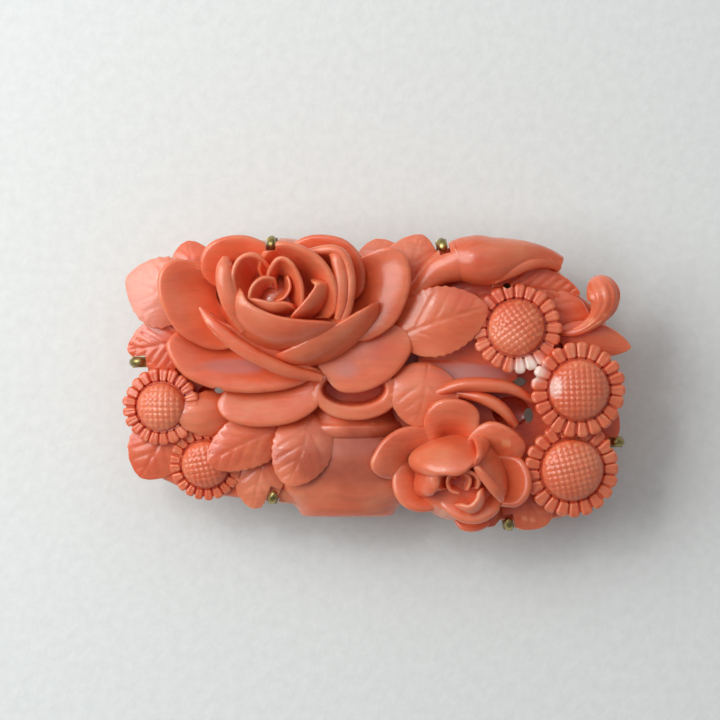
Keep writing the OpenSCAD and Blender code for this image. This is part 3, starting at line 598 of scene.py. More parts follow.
# Where on the rib the foot stands, half its length before it is made smaller, and its sides
FOOT_MIDDLE, FOOT_HALF, FOOT_SIDES = 0.45, 0.48, 20
# Rings of a leaf's foot: how far under the leaf, its least height, and its share of the leaf's size
LEAF_FOOT = ((9.0, FOOT, 0.80), (1.4, 0.8, 0.66), (0.5, 1.2, 0.60))


def leaf(row):
    """A leaf with a rib, side veins and teeth, hollowed at its back, on a foot set well under its edge."""
    base, tip = np.array(row[0], float), np.array(row[1], float)
    wide, bow, arch, drop, pointed, teeth, veins, depth = row[2:]
    span = tip - base
    length = np.linalg.norm(span[:2])
    n = max(int(length * LEAF_DETAIL), FEWEST_ALONG)
    m = max(int(2 * wide * LEAF_DETAIL), FEWEST_ACROSS) | 1
    way = np.array([span[0], span[1], 0]) / length
    side = np.array([-way[1], way[0], 0])
    u = np.linspace(0.0, 1, n)
    v = np.linspace(-1, 1, m)
    plan = np.clip(np.sin(np.pi * u**WIDEST), 0, 1) ** pointed
    plan = np.maximum(plan, LEAST_PLAN)
    saw = (1 + TOOTH * (np.abs(((u * teeth) % 1) - TOOTH_PHASE) - TOOTH_MEAN)) if teeth else np.ones(n)
    tooth = np.where(u > TOOTHLESS, saw, 1)
    rib = base + span * u[:, None] + side * (bow * np.sin(np.pi * u))[:, None]
    rib[:, 2] += arch * np.sin(np.pi * u)
    U, V = np.meshgrid(u, v, indexing="ij")
    half = wide * plan[:, None] * (1 + (tooth[:, None] - 1) * np.abs(V) ** TOOTH_POWER)
    top = rib[:, None] + side * (V * half)[..., None]
    top[..., 2] += -drop * np.abs(V) ** SIDE_POWER * plan[:, None]
    gauss = lambda t, w: np.exp(-((t / w) ** 2))
    groove = RIB_DEPTH * gauss(V * half, RIB_WIDTH) * np.clip((1 - U) * RIB_FADE, 0, 1)
    if veins:
        lean = np.abs(V) * half / length * VEIN_LEAN
        phase = (U - lean) * (veins + 1)
        near = np.abs(phase - np.round(phase)) / (veins + 1) * length
        inside = (np.round(phase) >= 1) & (np.round(phase) <= veins)
        fading = np.clip((VEIN_END - np.abs(V)) * VEIN_FADE, 0, 1)
        groove = np.maximum(groove, gauss(near, VEIN_WIDTH) * inside * fading)
    top[..., 2] -= depth * groove
    # Rounded edge, then the hollowed back
    edge = LEAF_EDGE * np.maximum(plan, LEAST_EDGE)
    right = top[:, -1] + np.array([0, 0, -1]) * (edge / 2)[:, None] + side * (EDGE_OUT * plan)[:, None]
    left = top[:, 0] + np.array([0, 0, -1]) * (edge / 2)[:, None] - side * (EDGE_OUT * plan)[:, None]
    w = np.linspace(BACK_SHARE, -BACK_SHARE, BACK_POINTS)
    under = rib[:, None] + side * (w[None] * wide * plan[:, None])[..., None]
    hollow = LEAF_HOLLOW * (1 - w[None] ** 2)
    under[..., 2] -= drop * np.abs(w) ** SIDE_POWER * plan[:, None] + edge[:, None] + hollow
    rings = np.concatenate([top, right[:, None], under, left[:, None]], axis=1)
    mesh_object("leaf", *rings_solid(rings))
    # What carries the leaf, set well back under its edge
    a = circle(FOOT_SIDES)
    middle = base + span * FOOT_MIDDLE
    lowest = min(base[2], tip[2])
    foot = []
    for below, least, share in LEAF_FOOT:
        along, across = np.cos(a) * length * FOOT_HALF * share, np.sin(a) * wide * share
        ellipse = middle + way * along[:, None] + side * across[:, None]
        ellipse[:, 2] = max(lowest - below, least)
        foot.append(ellipse)
    mesh_object("leaf_foot", *rings_solid(np.array(foot)))


# Bud, curled leaf and blades

# Points a mm along a stem, the fewest of them, and its least radius in mm
STEM_DETAIL, FEWEST_RINGS, THINNEST = 5, 12, 0.06
# A web's width as a share of its stem's, that of its keel, and the reach in mm that counts as short
WEB_WIDTH, KEEL_WIDTH, SHORT = 0.72, 0.35, 5
# Fewest rings that a web hangs from, how fast it falls from its ends, and its least share of the reach
WEB_RINGS, WEB_FALL, WEB_LEAST = 3, 1.8, 0.2


def tube(name, rows, sides=24, flat=1.0, reach=20.0, ridges=0, ridge=0.0, place=RELIEF, share=1.0):
    """A tapering round stem through places with a radius each. Under the first share of it stands a web,
    which reaches so many mm down, at most to the ground."""
    rows = np.asarray(rows, float)
    n = max(int(rim_length(rows[:, :3]) * STEM_DETAIL), FEWEST_RINGS)
    line = spline(rows, np.linspace(0, 1, n))
    centre, radius = line[:, :3], np.maximum(line[:, 3], THINNEST)
    way = unit(np.gradient(centre, axis=0))
    side = unit(np.cross([0, 0, 1.0], way))
    up = np.cross(way, side)
    a = circle(sides)
    wave = 1 + ridge * np.cos(a * ridges)[None] if ridges else np.ones((1, sides))
    spread = radius[:, None] * wave
    rings = centre[:, None] + side[:, None] * (np.cos(a)[None] * spread)[..., None] + (
        up[:, None] * (np.sin(a)[None] * spread * flat)[..., None])
    stem = mesh_object(name, *rings_solid(rings), place)
    if reach:
        kept = max(int(n * share), WEB_RINGS)
        wide = side[:kept] * (radius[:kept] * WEB_WIDTH)[:, None]
        # A short web runs out to a keel, and every web rises towards its ends
        keel = side[:kept] * (radius[:kept] * WEB_WIDTH * (KEEL_WIDTH if reach < SHORT else 1.0))[:, None]
        middle = centre[:kept]
        web = np.stack([middle + wide, middle - wide, middle - keel, middle + keel], 1)
        fall = reach * np.clip(WEB_FALL * np.sin(np.linspace(0, np.pi, kept)), WEB_LEAST, 1)[:, None]
        web[:, 2:, 2] = np.maximum(web[:, 2:, 2] - fall, FOOT)
        mesh_object(name + "_web", *rings_solid(web))
    return stem


# Stems: places with a radius each
BLADE_A = [
    (6.0, -1.0, 4.6, 0.5), (8.4, -0.2, 5.2, 0.7), (11.2, -0.2, 5.4, 0.75), (13.6, -0.6, 5.2, 0.6),
    (15.6, -1.7, 4.6, 0.35)]
BLADE_B = [
    (8.2, -1.0, 4.4, 0.45), (10.6, -1.5, 4.9, 0.65), (12.6, -2.6, 4.8, 0.65), (13.9, -4.2, 4.2, 0.45)]
CALYX = [(3.0, 7.8, 4.0, 0.9), (4.4, 9.6, 4.3, 1.2), (6.2, 11.3, 4.5, 1.6), (8.4, 12.3, 4.5, 2.15)]
BUD = [
    (7.0, 12.3, 4.4, 0.6), (7.9, 12.6, 4.4, 1.8), (9.6, 12.4, 4.6, 2.45), (11.3, 12.25, 4.7, 2.45),
    (12.9, 12.5, 4.6, 2.1), (14.4, 12.75, 4.4, 1.65), (15.9, 12.75, 4.1, 1.25), (17.2, 12.5, 3.8, 1.0),
    (18.5, 12.0, 3.5, 0.75)]
FOLD = [
    (9.6, 10.5, 4.6, 0.3), (11.4, 10.35, 5.2, 0.55), (13.4, 11.2, 5.6, 0.7), (15.4, 11.9, 5.3, 0.6),
    (17.2, 12.0, 4.6, 0.45), (18.4, 11.5, 3.8, 0.35)]
CURL = [
    (18.4, 4.9, 4.4, 0.3), (20.2, 5.2, 5.0, 0.45), (21.8, 6.3, 5.7, 0.75), (22.65, 7.6, 6.1, 1.3),
    (22.7, 8.7, 6.0, 1.65), (22.35, 9.6, 5.4, 1.45), (22.0, 10.2, 4.6, 0.9)]


# Vase

# The vase's middle, and its body: place up the picture, half width and depth of its front
VASE_X = -2.95
VASE = [
    (-13.55, 4.3, 2.0), (-13.35, 4.7, 2.4), (-12.75, 5.1, 3.0), (-11.9, 6.0, 3.5), (-11.2, 6.7, 3.9),
    (-10.2, 7.4, 4.2), (-8.8, 7.9, 4.5), (-7.4, 8.0, 4.6), (-6.4, 7.7, 4.5), (-5.8, 7.1, 4.35),
    (-5.4, 6.5, 4.2), (-5.1, 6.1, 4.08), (-4.85, 6.0, 4.25), (-4.4, 6.0, 4.4), (-3.9, 5.8, 4.4),
    (-3.5, 5.4, 4.15), (-2.0, 5.0, 3.6)]
# The lip as a pile of ellipses: centre, half widths across and up, and height; it ends down in the mouth
LIP = [
    (-2.05, -1.0, 4.1, 2.6, 0.3), (-2.05, -1.0, 4.1, 2.6, 3.9), (-2.05, -1.0, 4.3, 2.72, 4.3),
    (-2.05, -1.0, 4.33, 2.76, 4.75), (-2.06, -0.97, 4.2, 2.66, 5.02), (-2.12, -0.88, 3.9, 2.38, 5.12),
    (-2.2, -0.75, 3.5, 1.98, 5.16), (-2.28, -0.66, 3.25, 1.72, 5.02), (-2.3, -0.62, 3.08, 1.58, 4.4),
    (-2.3, -0.55, 2.95, 1.5, 2.8), (-2.3, -0.5, 2.5, 1.2, 1.5), (-2.3, -0.4, 1.0, 0.5, 1.3)]


# Rings of the vase's front and of its lip, and points in each
FRONT_RINGS, FRONT_POINTS, LIP_RINGS, LIP_POINTS = 84, 60, 40, 80
# The angles in degrees that its front runs between, and how square it is
FRONT_FROM, FRONT_TO, FRONT_POWER = 4, 176, 0.8
# How far its front sags down the picture, from what height of the picture, and over what height, in mm
SAG, SAG_FROM, SAG_SPAN = 0.5, -13, 8


def vase():
    """The vase's front, lofted up its outline, and its lip with the hollow mouth."""
    line = spline(VASE, np.linspace(0, 1, FRONT_RINGS))
    a = np.radians(np.linspace(FRONT_FROM, FRONT_TO, FRONT_POINTS))
    front = []
    for y, half, depth in line:
        # The front bulges forwards and a little down the picture, more so higher up
        sag = SAG * np.sin(a) * np.clip((y - SAG_FROM) / SAG_SPAN, 0, 1)
        front.append(places(VASE_X - np.cos(a) * half, y - sag, np.sin(a) ** FRONT_POWER * depth))
    front = np.stack(front)
    low = front[:, ::-1][:, [0, -1]].copy()
    low[..., 2] = FOOT
    mesh_object("vase", *rings_solid(np.concatenate([front, low], axis=1)))
    turn = circle(LIP_POINTS)
    lip = [places(x + rx * np.cos(turn), y + ry * np.sin(turn), z)
           for x, y, rx, ry, z in spline(LIP, np.linspace(0, 1, LIP_RINGS))]
    mesh_object("lip", *rings_solid(np.stack(lip)))


# Ground

# Outline of the ground, clockwise
GROUND = [
    (-23.3, 10.5), (-19.0, 12.0), (-14.0, 13.5), (-6.5, 13.8), (0.0, 12.6), (4.5, 12.9), (9.0, 13.8),
    (16.5, 12.9), (20.0, 9.3), (23.0, 6.6), (23.5, 2.4), (23.7, -3.0), (23.0, -7.8), (21.8, -12.0),
    (18.2, -13.7), (10.0, -13.8), (5.0, -12.6), (2.0, -12.3), (-7.5, -12.3), (-13.5, -11.7), (-18.0, -11.0),
    (-20.6, -10.2), (-22.8, -8.4), (-23.5, -2.4), (-23.0, 3.0)]
# Gaps that are cut right through: centre and radii
GAPS = [
    ((-15.9, -0.75), 0.5, 0.32), ((14.5, 0.1), 0.65, 0.42), ((15.4, -3.3), 0.45, 0.75),
    ((13.1, 9.75), 0.4, 0.3)]
# Hollows sunk into the ground: centre and radii
HOLLOWS = [
    ((13.6, -2.9), 1.9, 1.5), ((-16.3, -1.0), 1.7, 0.9), ((9.2, -0.2), 3.2, 1.0), ((-3.2, 1.0), 3.0, 1.4)]
# Solids inside the roses that their petals grow from: centre, and radii with heights
CORES = [
    (ROSE_HUB, [(7.2, 0.3), (6.9, 2.6), (6.0, 4.0), (5.2, 5.2), (3.6, 6.4), (2.2, 7.4), (1.0, 7.7)]),
    ((8.15, -9.4), [(4.6, 0.3), (4.5, 2.6), (4.3, 4.2), (3.6, 5.4), (2.2, 5.8), (0.8, 5.9)]),
]
# Claws: place across and up, the way the tip bends, and its height over the coral's back
CLAWS = [
    (-10.55, 14.10, 270, 3.74), (6.65, 13.89, 285, 3.52), (-10.45, -11.55, 70, 3.52),
    (13.35, -14.25, 100, 3.08), (-24.20, 2.10, 5, 3.30), (24.40, -6.00, 180, 2.40)]


# Points round the ground, and its edge from its back up: height, and how far it is drawn in
GROUND_POINTS = 160
GROUND_EDGE = ((0.0, 0.35), (0.12, 0.12), (0.35, 0.0), (1.4, 0.0), (1.8, 0.15), (2.0, 0.5))
# A hollow's wall: share of its radii, and height
HOLLOW_WALL = [(0.5, 0.7), (0.85, 0.9), (1, 1.6), (1.05, 4)]
# Room for a claw, wide below its tip and narrower above: how far below the rise it changes, how far in it
# goes and half its width, and how far out and up it is open
NOTCH_STEP, NOTCH_LOW, NOTCH_HIGH, NOTCH_OUT, NOTCH_TOP = 1.2, (0.12, 0.68), (1.0, 0.56), -9, 12.0
# Where the room for a claw starts, and how far its two boxes overlap, in mm
NOTCH_FOOT, OVERLAP = -1.0, 0.01
# The box that takes a squared tip off: half its width, and its reach below and over the claw's rise
CUT_HALF, CUT_BELOW, CUT_OVER = 2.4, 2.2, 4
# A prong from foot to tip: how far in from its claw's place, height over the claw's rise, and radius
PRONG = [
    (-0.36, -2.7, 0.40), (-0.34, -1.2, 0.43), (-0.15, -0.5, 0.46), (0.22, -0.24, 0.46), (0.52, -0.24, 0.36),
    (0.72, -0.32, 0.12)]


def slab():
    """The ground, rounded at its edge, with the hollows sunk into it."""
    outline = around(GROUND, GROUND_POINTS)
    middle = outline.mean(0)
    away = outline - middle
    rings = []
    for z, inset in GROUND_EDGE:
        ring = middle + away * (1 - inset / np.linalg.norm(away, axis=1, keepdims=True))
        rings.append(places(*ring.T, z))
    ground = mesh_object("ground", *rings_solid(np.array(rings)))
    sunk = [mesh_object("hollow", *turned(HOLLOW_WALL, at, sides=24, squash=(rx, ry)))
            for at, rx, ry in HOLLOWS]
    return boolean(ground, sunk, "DIFFERENCE")


def claw_notches():
    """Room for the claws in the coral's edge, open outwards and upwards."""
    notches = []
    for x, y, bend, rise in CLAWS:
        a = math.radians(bend)
        in_way, side = np.array([math.cos(a), math.sin(a)]), np.array([-math.sin(a), math.cos(a)])
        step = rise - NOTCH_STEP
        for low, high, (near, half) in ((NOTCH_FOOT, step, NOTCH_LOW), (step, NOTCH_TOP, NOTCH_HIGH)):
            square = ((NOTCH_OUT, -half), (near, -half), (near, half), (NOTCH_OUT, half))
            corners = [np.array([x, y]) + in_way * p + side * q for p, q in square]
            rings = np.array([[(*c, z) for c in corners] for z in (low - OVERLAP, high)])
            notches.append(mesh_object("notch", *rings_solid(rings)))
    return notches


def claw_cuts():
    """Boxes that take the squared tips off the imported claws."""
    cuts = []
    square = ((-CUT_HALF, -CUT_HALF), (CUT_HALF, -CUT_HALF), (CUT_HALF, CUT_HALF), (-CUT_HALF, CUT_HALF))
    for x, y, _, rise in CLAWS:
        levels = (rise - CUT_BELOW, rise + CUT_OVER)
        rings = np.array([[(x + p, y + q, z) for p, q in square] for z in levels])
        cuts.append(mesh_object("cut", *rings_solid(rings), METAL))
    return cuts


def prongs():
    """Rounded claws, each worn to a bead where it is pressed down on the coral."""
    made = []
    for k, (x, y, bend, rise) in enumerate(CLAWS):
        c, s = math.cos(math.radians(bend)), math.sin(math.radians(bend))
        rows = [(x + out * c, y + out * s, rise + up, radius) for out, up, radius in PRONG]
        bead = tube(f"prong_{k}", rows, sides=20, flat=0.95, reach=0, ridges=5, ridge=0.03, place=METAL)
        made.append(bead)
    return made


# Materials


# Kinds of node that come again and again
NOISE, BUMP, RANGE = "ShaderNodeTexNoise", "ShaderNodeBump", "ShaderNodeMapRange"
RAMP, MIX = "ShaderNodeValToRGB", "ShaderNodeMix"
VECTORS, NUMBERS = "ShaderNodeVectorMath", "ShaderNodeMath"
SHADER, OUTPUT = "ShaderNodeBsdfPrincipled", "ShaderNodeOutputMaterial"
# The coral's patterns, each as the length of one wave in mm: clouds of its body colour, how its growth
# lines wander, their spacing along, across and up the branch, and the grain that polishing leaves
CLOUD, WANDER, GROWTH, GRAIN = 6.25, 25 / 3, (20, 0.5, 2), 5 / 11
# How far the growth lines wander, in mm
WANDER_BY = 5
# Painted shade: how a hollow's colour is made redder and darker, standing in for light thrown from wall to
# wall, and how far off a wall counts, in m
REDDER, HOLLOW_REACH = (1.06, 0.80, 0.68), 0.004
# Blotches on the gold, in mm, and its file marks, which are finer in truth and drawn coarse enough to show
BLOTCH, FILE_MARK = 5 / 7, 1 / 7
# The paper's tooth and its slower waves, in mm
PAPER_TOOTH, PAPER_WAVE = 10 / 9, 25 / 3


def linear(hex_code):
    """An sRGB hex colour as linear light, with alpha."""
    srgb = [int(hex_code[k:k + 2], 16) / 255 for k in (0, 2, 4)]
    return (*(c / 12.92 if c <= 0.04045 else ((c + 0.055) / 1.055) ** 2.4 for c in srgb), 1.0)


def node(tree, kind, links=None, stops=(), **settings):
    """Adds a node. Settings are its attributes, links go into its inputs, each a socket or a value, and
    stops are the places and colours of a colour ramp."""
    made = tree.nodes.new(kind)
    for key, value in settings.items():
        setattr(made, key, value)
    for key, value in (links or {}).items():
        if isinstance(value, bpy.types.NodeSocket):
            tree.links.new(value, made.inputs[key])
        else:
            made.inputs[key].default_value = value
    if stops:
        points = made.color_ramp.elements
        points[0].position, points[0].color = stops[0]
        points[1].position, points[1].color = stops[-1]
        for position, colour in stops[1:-1]:
            points.new(position).color = colour
    return made


def material(name):
    """A new material, its node tree, and the place on the piece in mm."""
    made = bpy.data.materials.new(name)
    made.use_nodes = True
    tree = made.node_tree
    tree.nodes.clear()
    place = node(tree, "ShaderNodeTexCoord").outputs["Object"]
    return made, tree, node(tree, VECTORS, {0: place, 1: [1 / MM] * 3}, operation="MULTIPLY").outputs[0]


# Pale and lilac patches: centre, radii and how strong each is. Most the coral has by nature; the others are
# painted sheen, as marked
PALE = [
    ((15.2, 1.3, 6.2), (1.6, 1.4, 2.4), 0.95), ((17.8, -0.4, 7.4), (0.8, 1.0, 1.0), 0.65),
    # This pale patch is a painted sheen on the upper left leaf, the one nearest the window
    ((-22.8, 9.0, 4.2), (3.4, 4.6, 3.0), 0.2)]
LILAC = [
    # The first lilac patch is partly the coral's own pale core and partly a painted reflection, on the
    # rose's lower left petal under its rolled rim
    ((-14.0, 1.7, 4.8), (3.1, 0.8, 1.8), 0.6), ((-3.2, 1.2, 4.6), (1.7, 1.0, 1.5), 0.5),
    ((9.7, 1.0, 3.2), (3.8, 0.9, 2.0), 0.7)]
# Painted shadow: the vase is darkened and dulled where the rose's shadow falls on it
VASE_SHADE = [((-3.0, -7.6, 2.6), (8.2, 3.9, 3.2), 0.95)]


def coral_material(colours):
    """Precious coral, carved and polished by hand: salmon with slightly uneven body colour, faint growth
    lines, a waxy gloss, light that goes a little way in, and paler patches near the branch's core. Light
    and shade are also painted into the colour: paler rims, redder and darker hollows, a darker vase in the
    rose's shadow, and a sheen on a leaf and on a petal."""
    made, tree, mm = material("polished_salmon_coral")
    clouds = {"Vector": mm, "Scale": 1 / CLOUD, "Detail": 3.0, "Roughness": 0.55}
    cloud = node(tree, NOISE, clouds).outputs["Fac"]
    tones = [(0.32, tuple(colours.deep)), (0.5, tuple(colours.body)), (0.72, tuple(colours.light))]
    body = node(tree, RAMP, {"Fac": cloud}, tones).outputs["Color"]
    # Growth lines run along the branch, and wander
    wander = node(tree, NOISE, {"Vector": mm, "Scale": 1 / WANDER, "Detail": 2.0}).outputs["Color"]
    bent = node(tree, VECTORS, {0: wander, 1: [WANDER_BY] * 3, 2: mm}, operation="MULTIPLY_ADD").outputs[0]
    along = [1 / wave for wave in GROWTH]
    waves = node(tree, VECTORS, {0: bent, 1: along}, operation="MULTIPLY").outputs[0]
    growth = {"Vector": waves, "Scale": 1.0, "Detail": 3.0, "Roughness": 0.6}
    lines = node(tree, NOISE, growth).outputs["Fac"]
    faint = {"Value": lines, "From Min": 0.3, "From Max": 0.7, "To Min": 0.93, "To Max": 1.06}
    shade = node(tree, RANGE, faint).outputs[0]
    colour = node(tree, VECTORS, {0: body, 1: shade}, operation="MULTIPLY").outputs[0]
    # Painted light: thin rims are made paler, standing in for light that comes through them
    sharp = node(tree, "ShaderNodeNewGeometry").outputs["Pointiness"]
    thin = node(tree, RANGE, {"Value": sharp, "From Min": 0.54, "From Max": 0.62, "To Max": 0.5}).outputs[0]
    paler = {"Factor": thin, "A": colour, "B": tuple(colours.rim)}
    colour = node(tree, MIX, paler, data_type="RGBA").outputs["Result"]
    # Painted shade: hollows are made redder and darker, standing in for light thrown from wall to wall in
    # them
    air = node(tree, "ShaderNodeAmbientOcclusion", {"Distance": HOLLOW_REACH}, samples=4).outputs["AO"]
    lit = node(tree, RANGE, {"Value": air, "From Min": 0.25, "From Max": 0.9}).outputs[0]
    redder = node(tree, VECTORS, {0: colour, 1: REDDER}, operation="MULTIPLY").outputs[0]
    colour = node(tree, MIX, {"Factor": lit, "A": redder, "B": colour}, data_type="RGBA").outputs["Result"]
    # The vase's patch is painted shadow; the pale and lilac patches are mostly the coral's own colour, with
    # some painted sheen
    for patches, tone in ((VASE_SHADE, colours.layer), (PALE, colours.pale), (LILAC, colours.lilac)):
        for (x, y, z), radii, strength in patches:
            off = node(tree, VECTORS, {0: mm, 1: (x, y, z + BACK)}, operation="SUBTRACT").outputs[0]
            scaled = node(tree, VECTORS, {0: off, 1: radii}, operation="DIVIDE").outputs[0]
            far = node(tree, VECTORS, {0: scaled}, operation="LENGTH").outputs["Value"]
            wavy = node(tree, NUMBERS, {0: cloud, 1: 1.2, 2: far}, operation="MULTIPLY_ADD").outputs[0]
            fade = {"Value": wavy, "From Min": 1.05, "From Max": 1.9, "To Min": strength, "To Max": 0.0}
            weight = node(tree, RANGE, fade, interpolation_type="SMOOTHSTEP").outputs[0]
            patch = {"Factor": weight, "A": colour, "B": tuple(tone)}
            colour = node(tree, MIX, patch, data_type="RGBA").outputs["Result"]
    # Polishing marks and the fine grain left in hollows
    grain = {"Vector": mm, "Scale": 1 / GRAIN, "Detail": 4.0, "Roughness": 0.6}
    fine = node(tree, NOISE, grain).outputs["Fac"]
    rough = node(tree, RANGE, {"Value": fine, "To Min": 0.24, "To Max": 0.40}).outputs[0]
    height = node(tree, NUMBERS, {0: lines, 1: fine}, operation="ADD").outputs[0]
    bump = node(tree, BUMP, {"Height": height, "Strength": 0.3, "Distance": 0.0001}).outputs[0]
    shader = node(tree, SHADER, {
        "Base Color": colour, "Roughness": rough, "Normal": bump, "IOR": 1.52, "Coat Weight": 0.45,
        "Coat Roughness": 0.14, "Subsurface Weight": 0.6, "Subsurface Radius": (1.0, 0.28, 0.14),
        "Subsurface Scale": 0.0013})
    node(tree, OUTPUT, {"Surface": shader.outputs[0]})
    return made


def gold_material():
    """Yellow gold, cast and filed by hand: soft, blotchy reflections and faint file marks."""
    made, tree, mm = material("filed_yellow_gold")
    blotch = node(tree, NOISE, {"Vector": mm, "Scale": 1 / BLOTCH, "Detail": 4.0}).outputs["Fac"]
    tones = [(0.35, linear("857650")), (0.55, linear("A9985F")), (0.75, linear("C8B982"))]
    colour = node(tree, RAMP, {"Fac": blotch}, tones).outputs["Color"]
    rough = node(tree, RANGE, {"Value": blotch, "To Min": 0.22, "To Max": 0.5}).outputs[0]
    marks = node(tree, NOISE, {"Vector": mm, "Scale": 1 / FILE_MARK, "Detail": 3.0}).outputs["Fac"]
    bump = node(tree, BUMP, {"Height": marks, "Strength": 0.35, "Distance": 0.00005}).outputs[0]
    shader = node(tree, SHADER, {"Base Color": colour, "Metallic": 1.0, "Roughness": rough, "Normal": bump})
    node(tree, OUTPUT, {"Surface": shader.outputs[0]})
    return made


def paper_material():
    """White drawing paper, left unpressed: matt, with a mottled tooth about a millimetre across."""
    made, tree, mm = material("white_drawing_paper")
    mottled = {"Vector": mm, "Scale": 1 / PAPER_TOOTH, "Detail": 4.0, "Roughness": 0.6}
    tooth = node(tree, NOISE, mottled).outputs["Fac"]
    wide = node(tree, NOISE, {"Vector": mm, "Scale": 1 / PAPER_WAVE, "Detail": 2.0}).outputs["Fac"]
    both = node(tree, NUMBERS, {0: wide, 1: 0.6, 2: tooth}, operation="MULTIPLY_ADD").outputs[0]
    tones = [(0.3, linear("E4E6E3")), (0.7, linear("EBEDEA"))]
    colour = node(tree, RAMP, {"Fac": tooth}, tones).outputs["Color"]
    bump = node(tree, BUMP, {"Height": both, "Strength": 0.5, "Distance": 0.00012}).outputs[0]
    shader = node(tree, SHADER, {"Base Color": colour, "Roughness": 0.9, "Normal": bump})
    node(tree, OUTPUT, {"Surface": shader.outputs[0]})
    return made


# Add-on


def length(name, description, default, least, most):
    """A length in metres that the panel shows."""
    return bpy.props.FloatProperty(
        name=name, description=description, default=default, min=least, max=most, precision=5,
        unit="LENGTH")


class CLIP_PG_sizes(bpy.types.PropertyGroup):
    """Sizes of the fine carving"""
    rays: bpy.props.IntProperty(
        name="Ray petals", description="Number of ray petals on each daisy", default=21, min=16, max=26)
    hatch_pitch: length(
        "Hatch pitch", "Distance between a button's cut lines", default=0.00056, least=0.0002, most=0.001)
    hatch_depth: length(
        "Hatch depth", "Depth of a button's cut lines", default=0.00012, least=0.0, most=0.0004)
    setting_edge: length(
        "Filed edge", "Radius of the setting's filed edges", default=0.00012, least=0.0, most=0.0003)


def tint(name, description, hex_code):
    """A colour that the panel shows."""
    return bpy.props.FloatVectorProperty(
        name=name, description=description, subtype="COLOR", size=4, min=0, max=1, default=linear(hex_code))


class CLIP_PG_colours(bpy.types.PropertyGroup):
    """Colours of the coral"""
    body: tint("Body", "Main colour of the coral", "E2754E")
    deep: tint("Deep", "Redder clouds in the coral", "DA623E")
    light: tint("Light", "Paler clouds in the coral", "E98F6B")
    # Painted onto thin rims, in place of light that comes through them
    rim: tint("Rims", "Thin rims that light comes through", "F7A878")
    # Also the tone of the painted sheen on the upper left leaf
    pale: tint("Pale patches", "Near the branch's core", "F6D8CC")
    # Painted shadow on the vase, where the rose shades it
    layer: tint("Deeper layer", "Painted shadow where the rose shades the vase", "9A4432")
    # Also the tone of the painted reflection on the rose's lower left petal
    lilac: tint("Lilac patches", "Greyish patches in hollows", "C08A86")


class CLIP_OT_roses(bpy.types.Operator):
    """Carves the two roses, petal by petal"""
    bl_idname = "clip.roses"
    bl_label = "Carve the roses"

    def execute(self, context):
        for name, rows, hub, along, across, blunt in FLOWERS:
            for k, row in enumerate(rows):
                petal(f"{name}_{k}", row, hub, along, across, blunt)
        for k, rows in enumerate(BANDS):
            tube(f"band_{k}", rows, sides=24, flat=0.8, reach=2.2)
        for at, rows in CORES:
            mesh_object("core", *turned(rows, at))
        return {"FINISHED"}


class CLIP_OT_daisies(bpy.types.Operator):
    """Carves the five daisies with cross-hatched buttons"""
    bl_idname = "clip.daisies"
    bl_label = "Carve the daisies"

    def execute(self, context):
        dice = np.random.default_rng(DAISY_SEED)
        for row in DAISIES:
            daisy(row, context.scene.clip_sizes, dice)
        return {"FINISHED"}


class CLIP_OT_leaves(bpy.types.Operator):
    """Carves the leaves, the bud, the curled leaf and the two blades"""
    bl_idname = "clip.leaves"
    bl_label = "Carve the leaves and the bud"

    def execute(self, context):
        for row in LEAVES:
            leaf(row)
        tube("bud", BUD, sides=48)
        tube("fold", FOLD, sides=20, flat=0.8)
        tube("calyx", CALYX, sides=28)
        tube("blade_a", BLADE_A, sides=16, flat=1.5)
        tube("blade_b", BLADE_B, sides=16, flat=1.5)
        tube("curl", CURL, sides=60, flat=0.75, ridges=11, ridge=0.045, share=0.45)
        return {"FINISHED"}


class CLIP_OT_vase(bpy.types.Operator):
    """Carves the vase with its rolled lip"""
    bl_idname = "clip.vase"
    bl_label = "Carve the vase"

    def execute(self, context):
        vase()
        return {"FINISHED"}


# Walls of a gap, and of what trims the back: radii with heights
GAP_WALL = [(1, -1), (1, 12)]
FLOOR_CUT = [(60, -20), (60, 0)]
# Fewer faces than this mean that the relief fell apart
FEWEST_FACES = 1000
# Angles in degrees over which an edge stays sharp, and over which the setting's edges are filed
CORAL_SHARP, SETTING_SHARP, FILED_OVER = 42, 50, 35


class CLIP_OT_coral(bpy.types.Operator):
    """Joins all of the relief with its ground into one piece of coral"""
    bl_idname = "clip.coral"
    bl_label = "Join the coral"

    def execute(self, context):
        parts = list(folder(RELIEF).objects)
        coral = united([slab()] + parts)
        gaps = [mesh_object("gap", *turned(GAP_WALL, at, sides=20, squash=(rx, ry)))
                for at, rx, ry in GAPS]
        floor = mesh_object("floor_cut", *turned(FLOOR_CUT, (0, 0), sides=24))
        boolean(coral, gaps + [floor] + claw_notches(), "DIFFERENCE")
        if len(coral.data.polygons) < FEWEST_FACES:
            raise RuntimeError("the relief did not join")
        coral.name = coral.data.name = CORAL
        coral.data.shade_smooth()
        coral.data.set_sharp_from_angle(angle=math.radians(CORAL_SHARP))
        coral.data.materials.clear()
        coral.data.materials.append(coral_material(context.scene.clip_colours))
        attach(coral, "root")
        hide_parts("coral_carving")
        return {"FINISHED"}


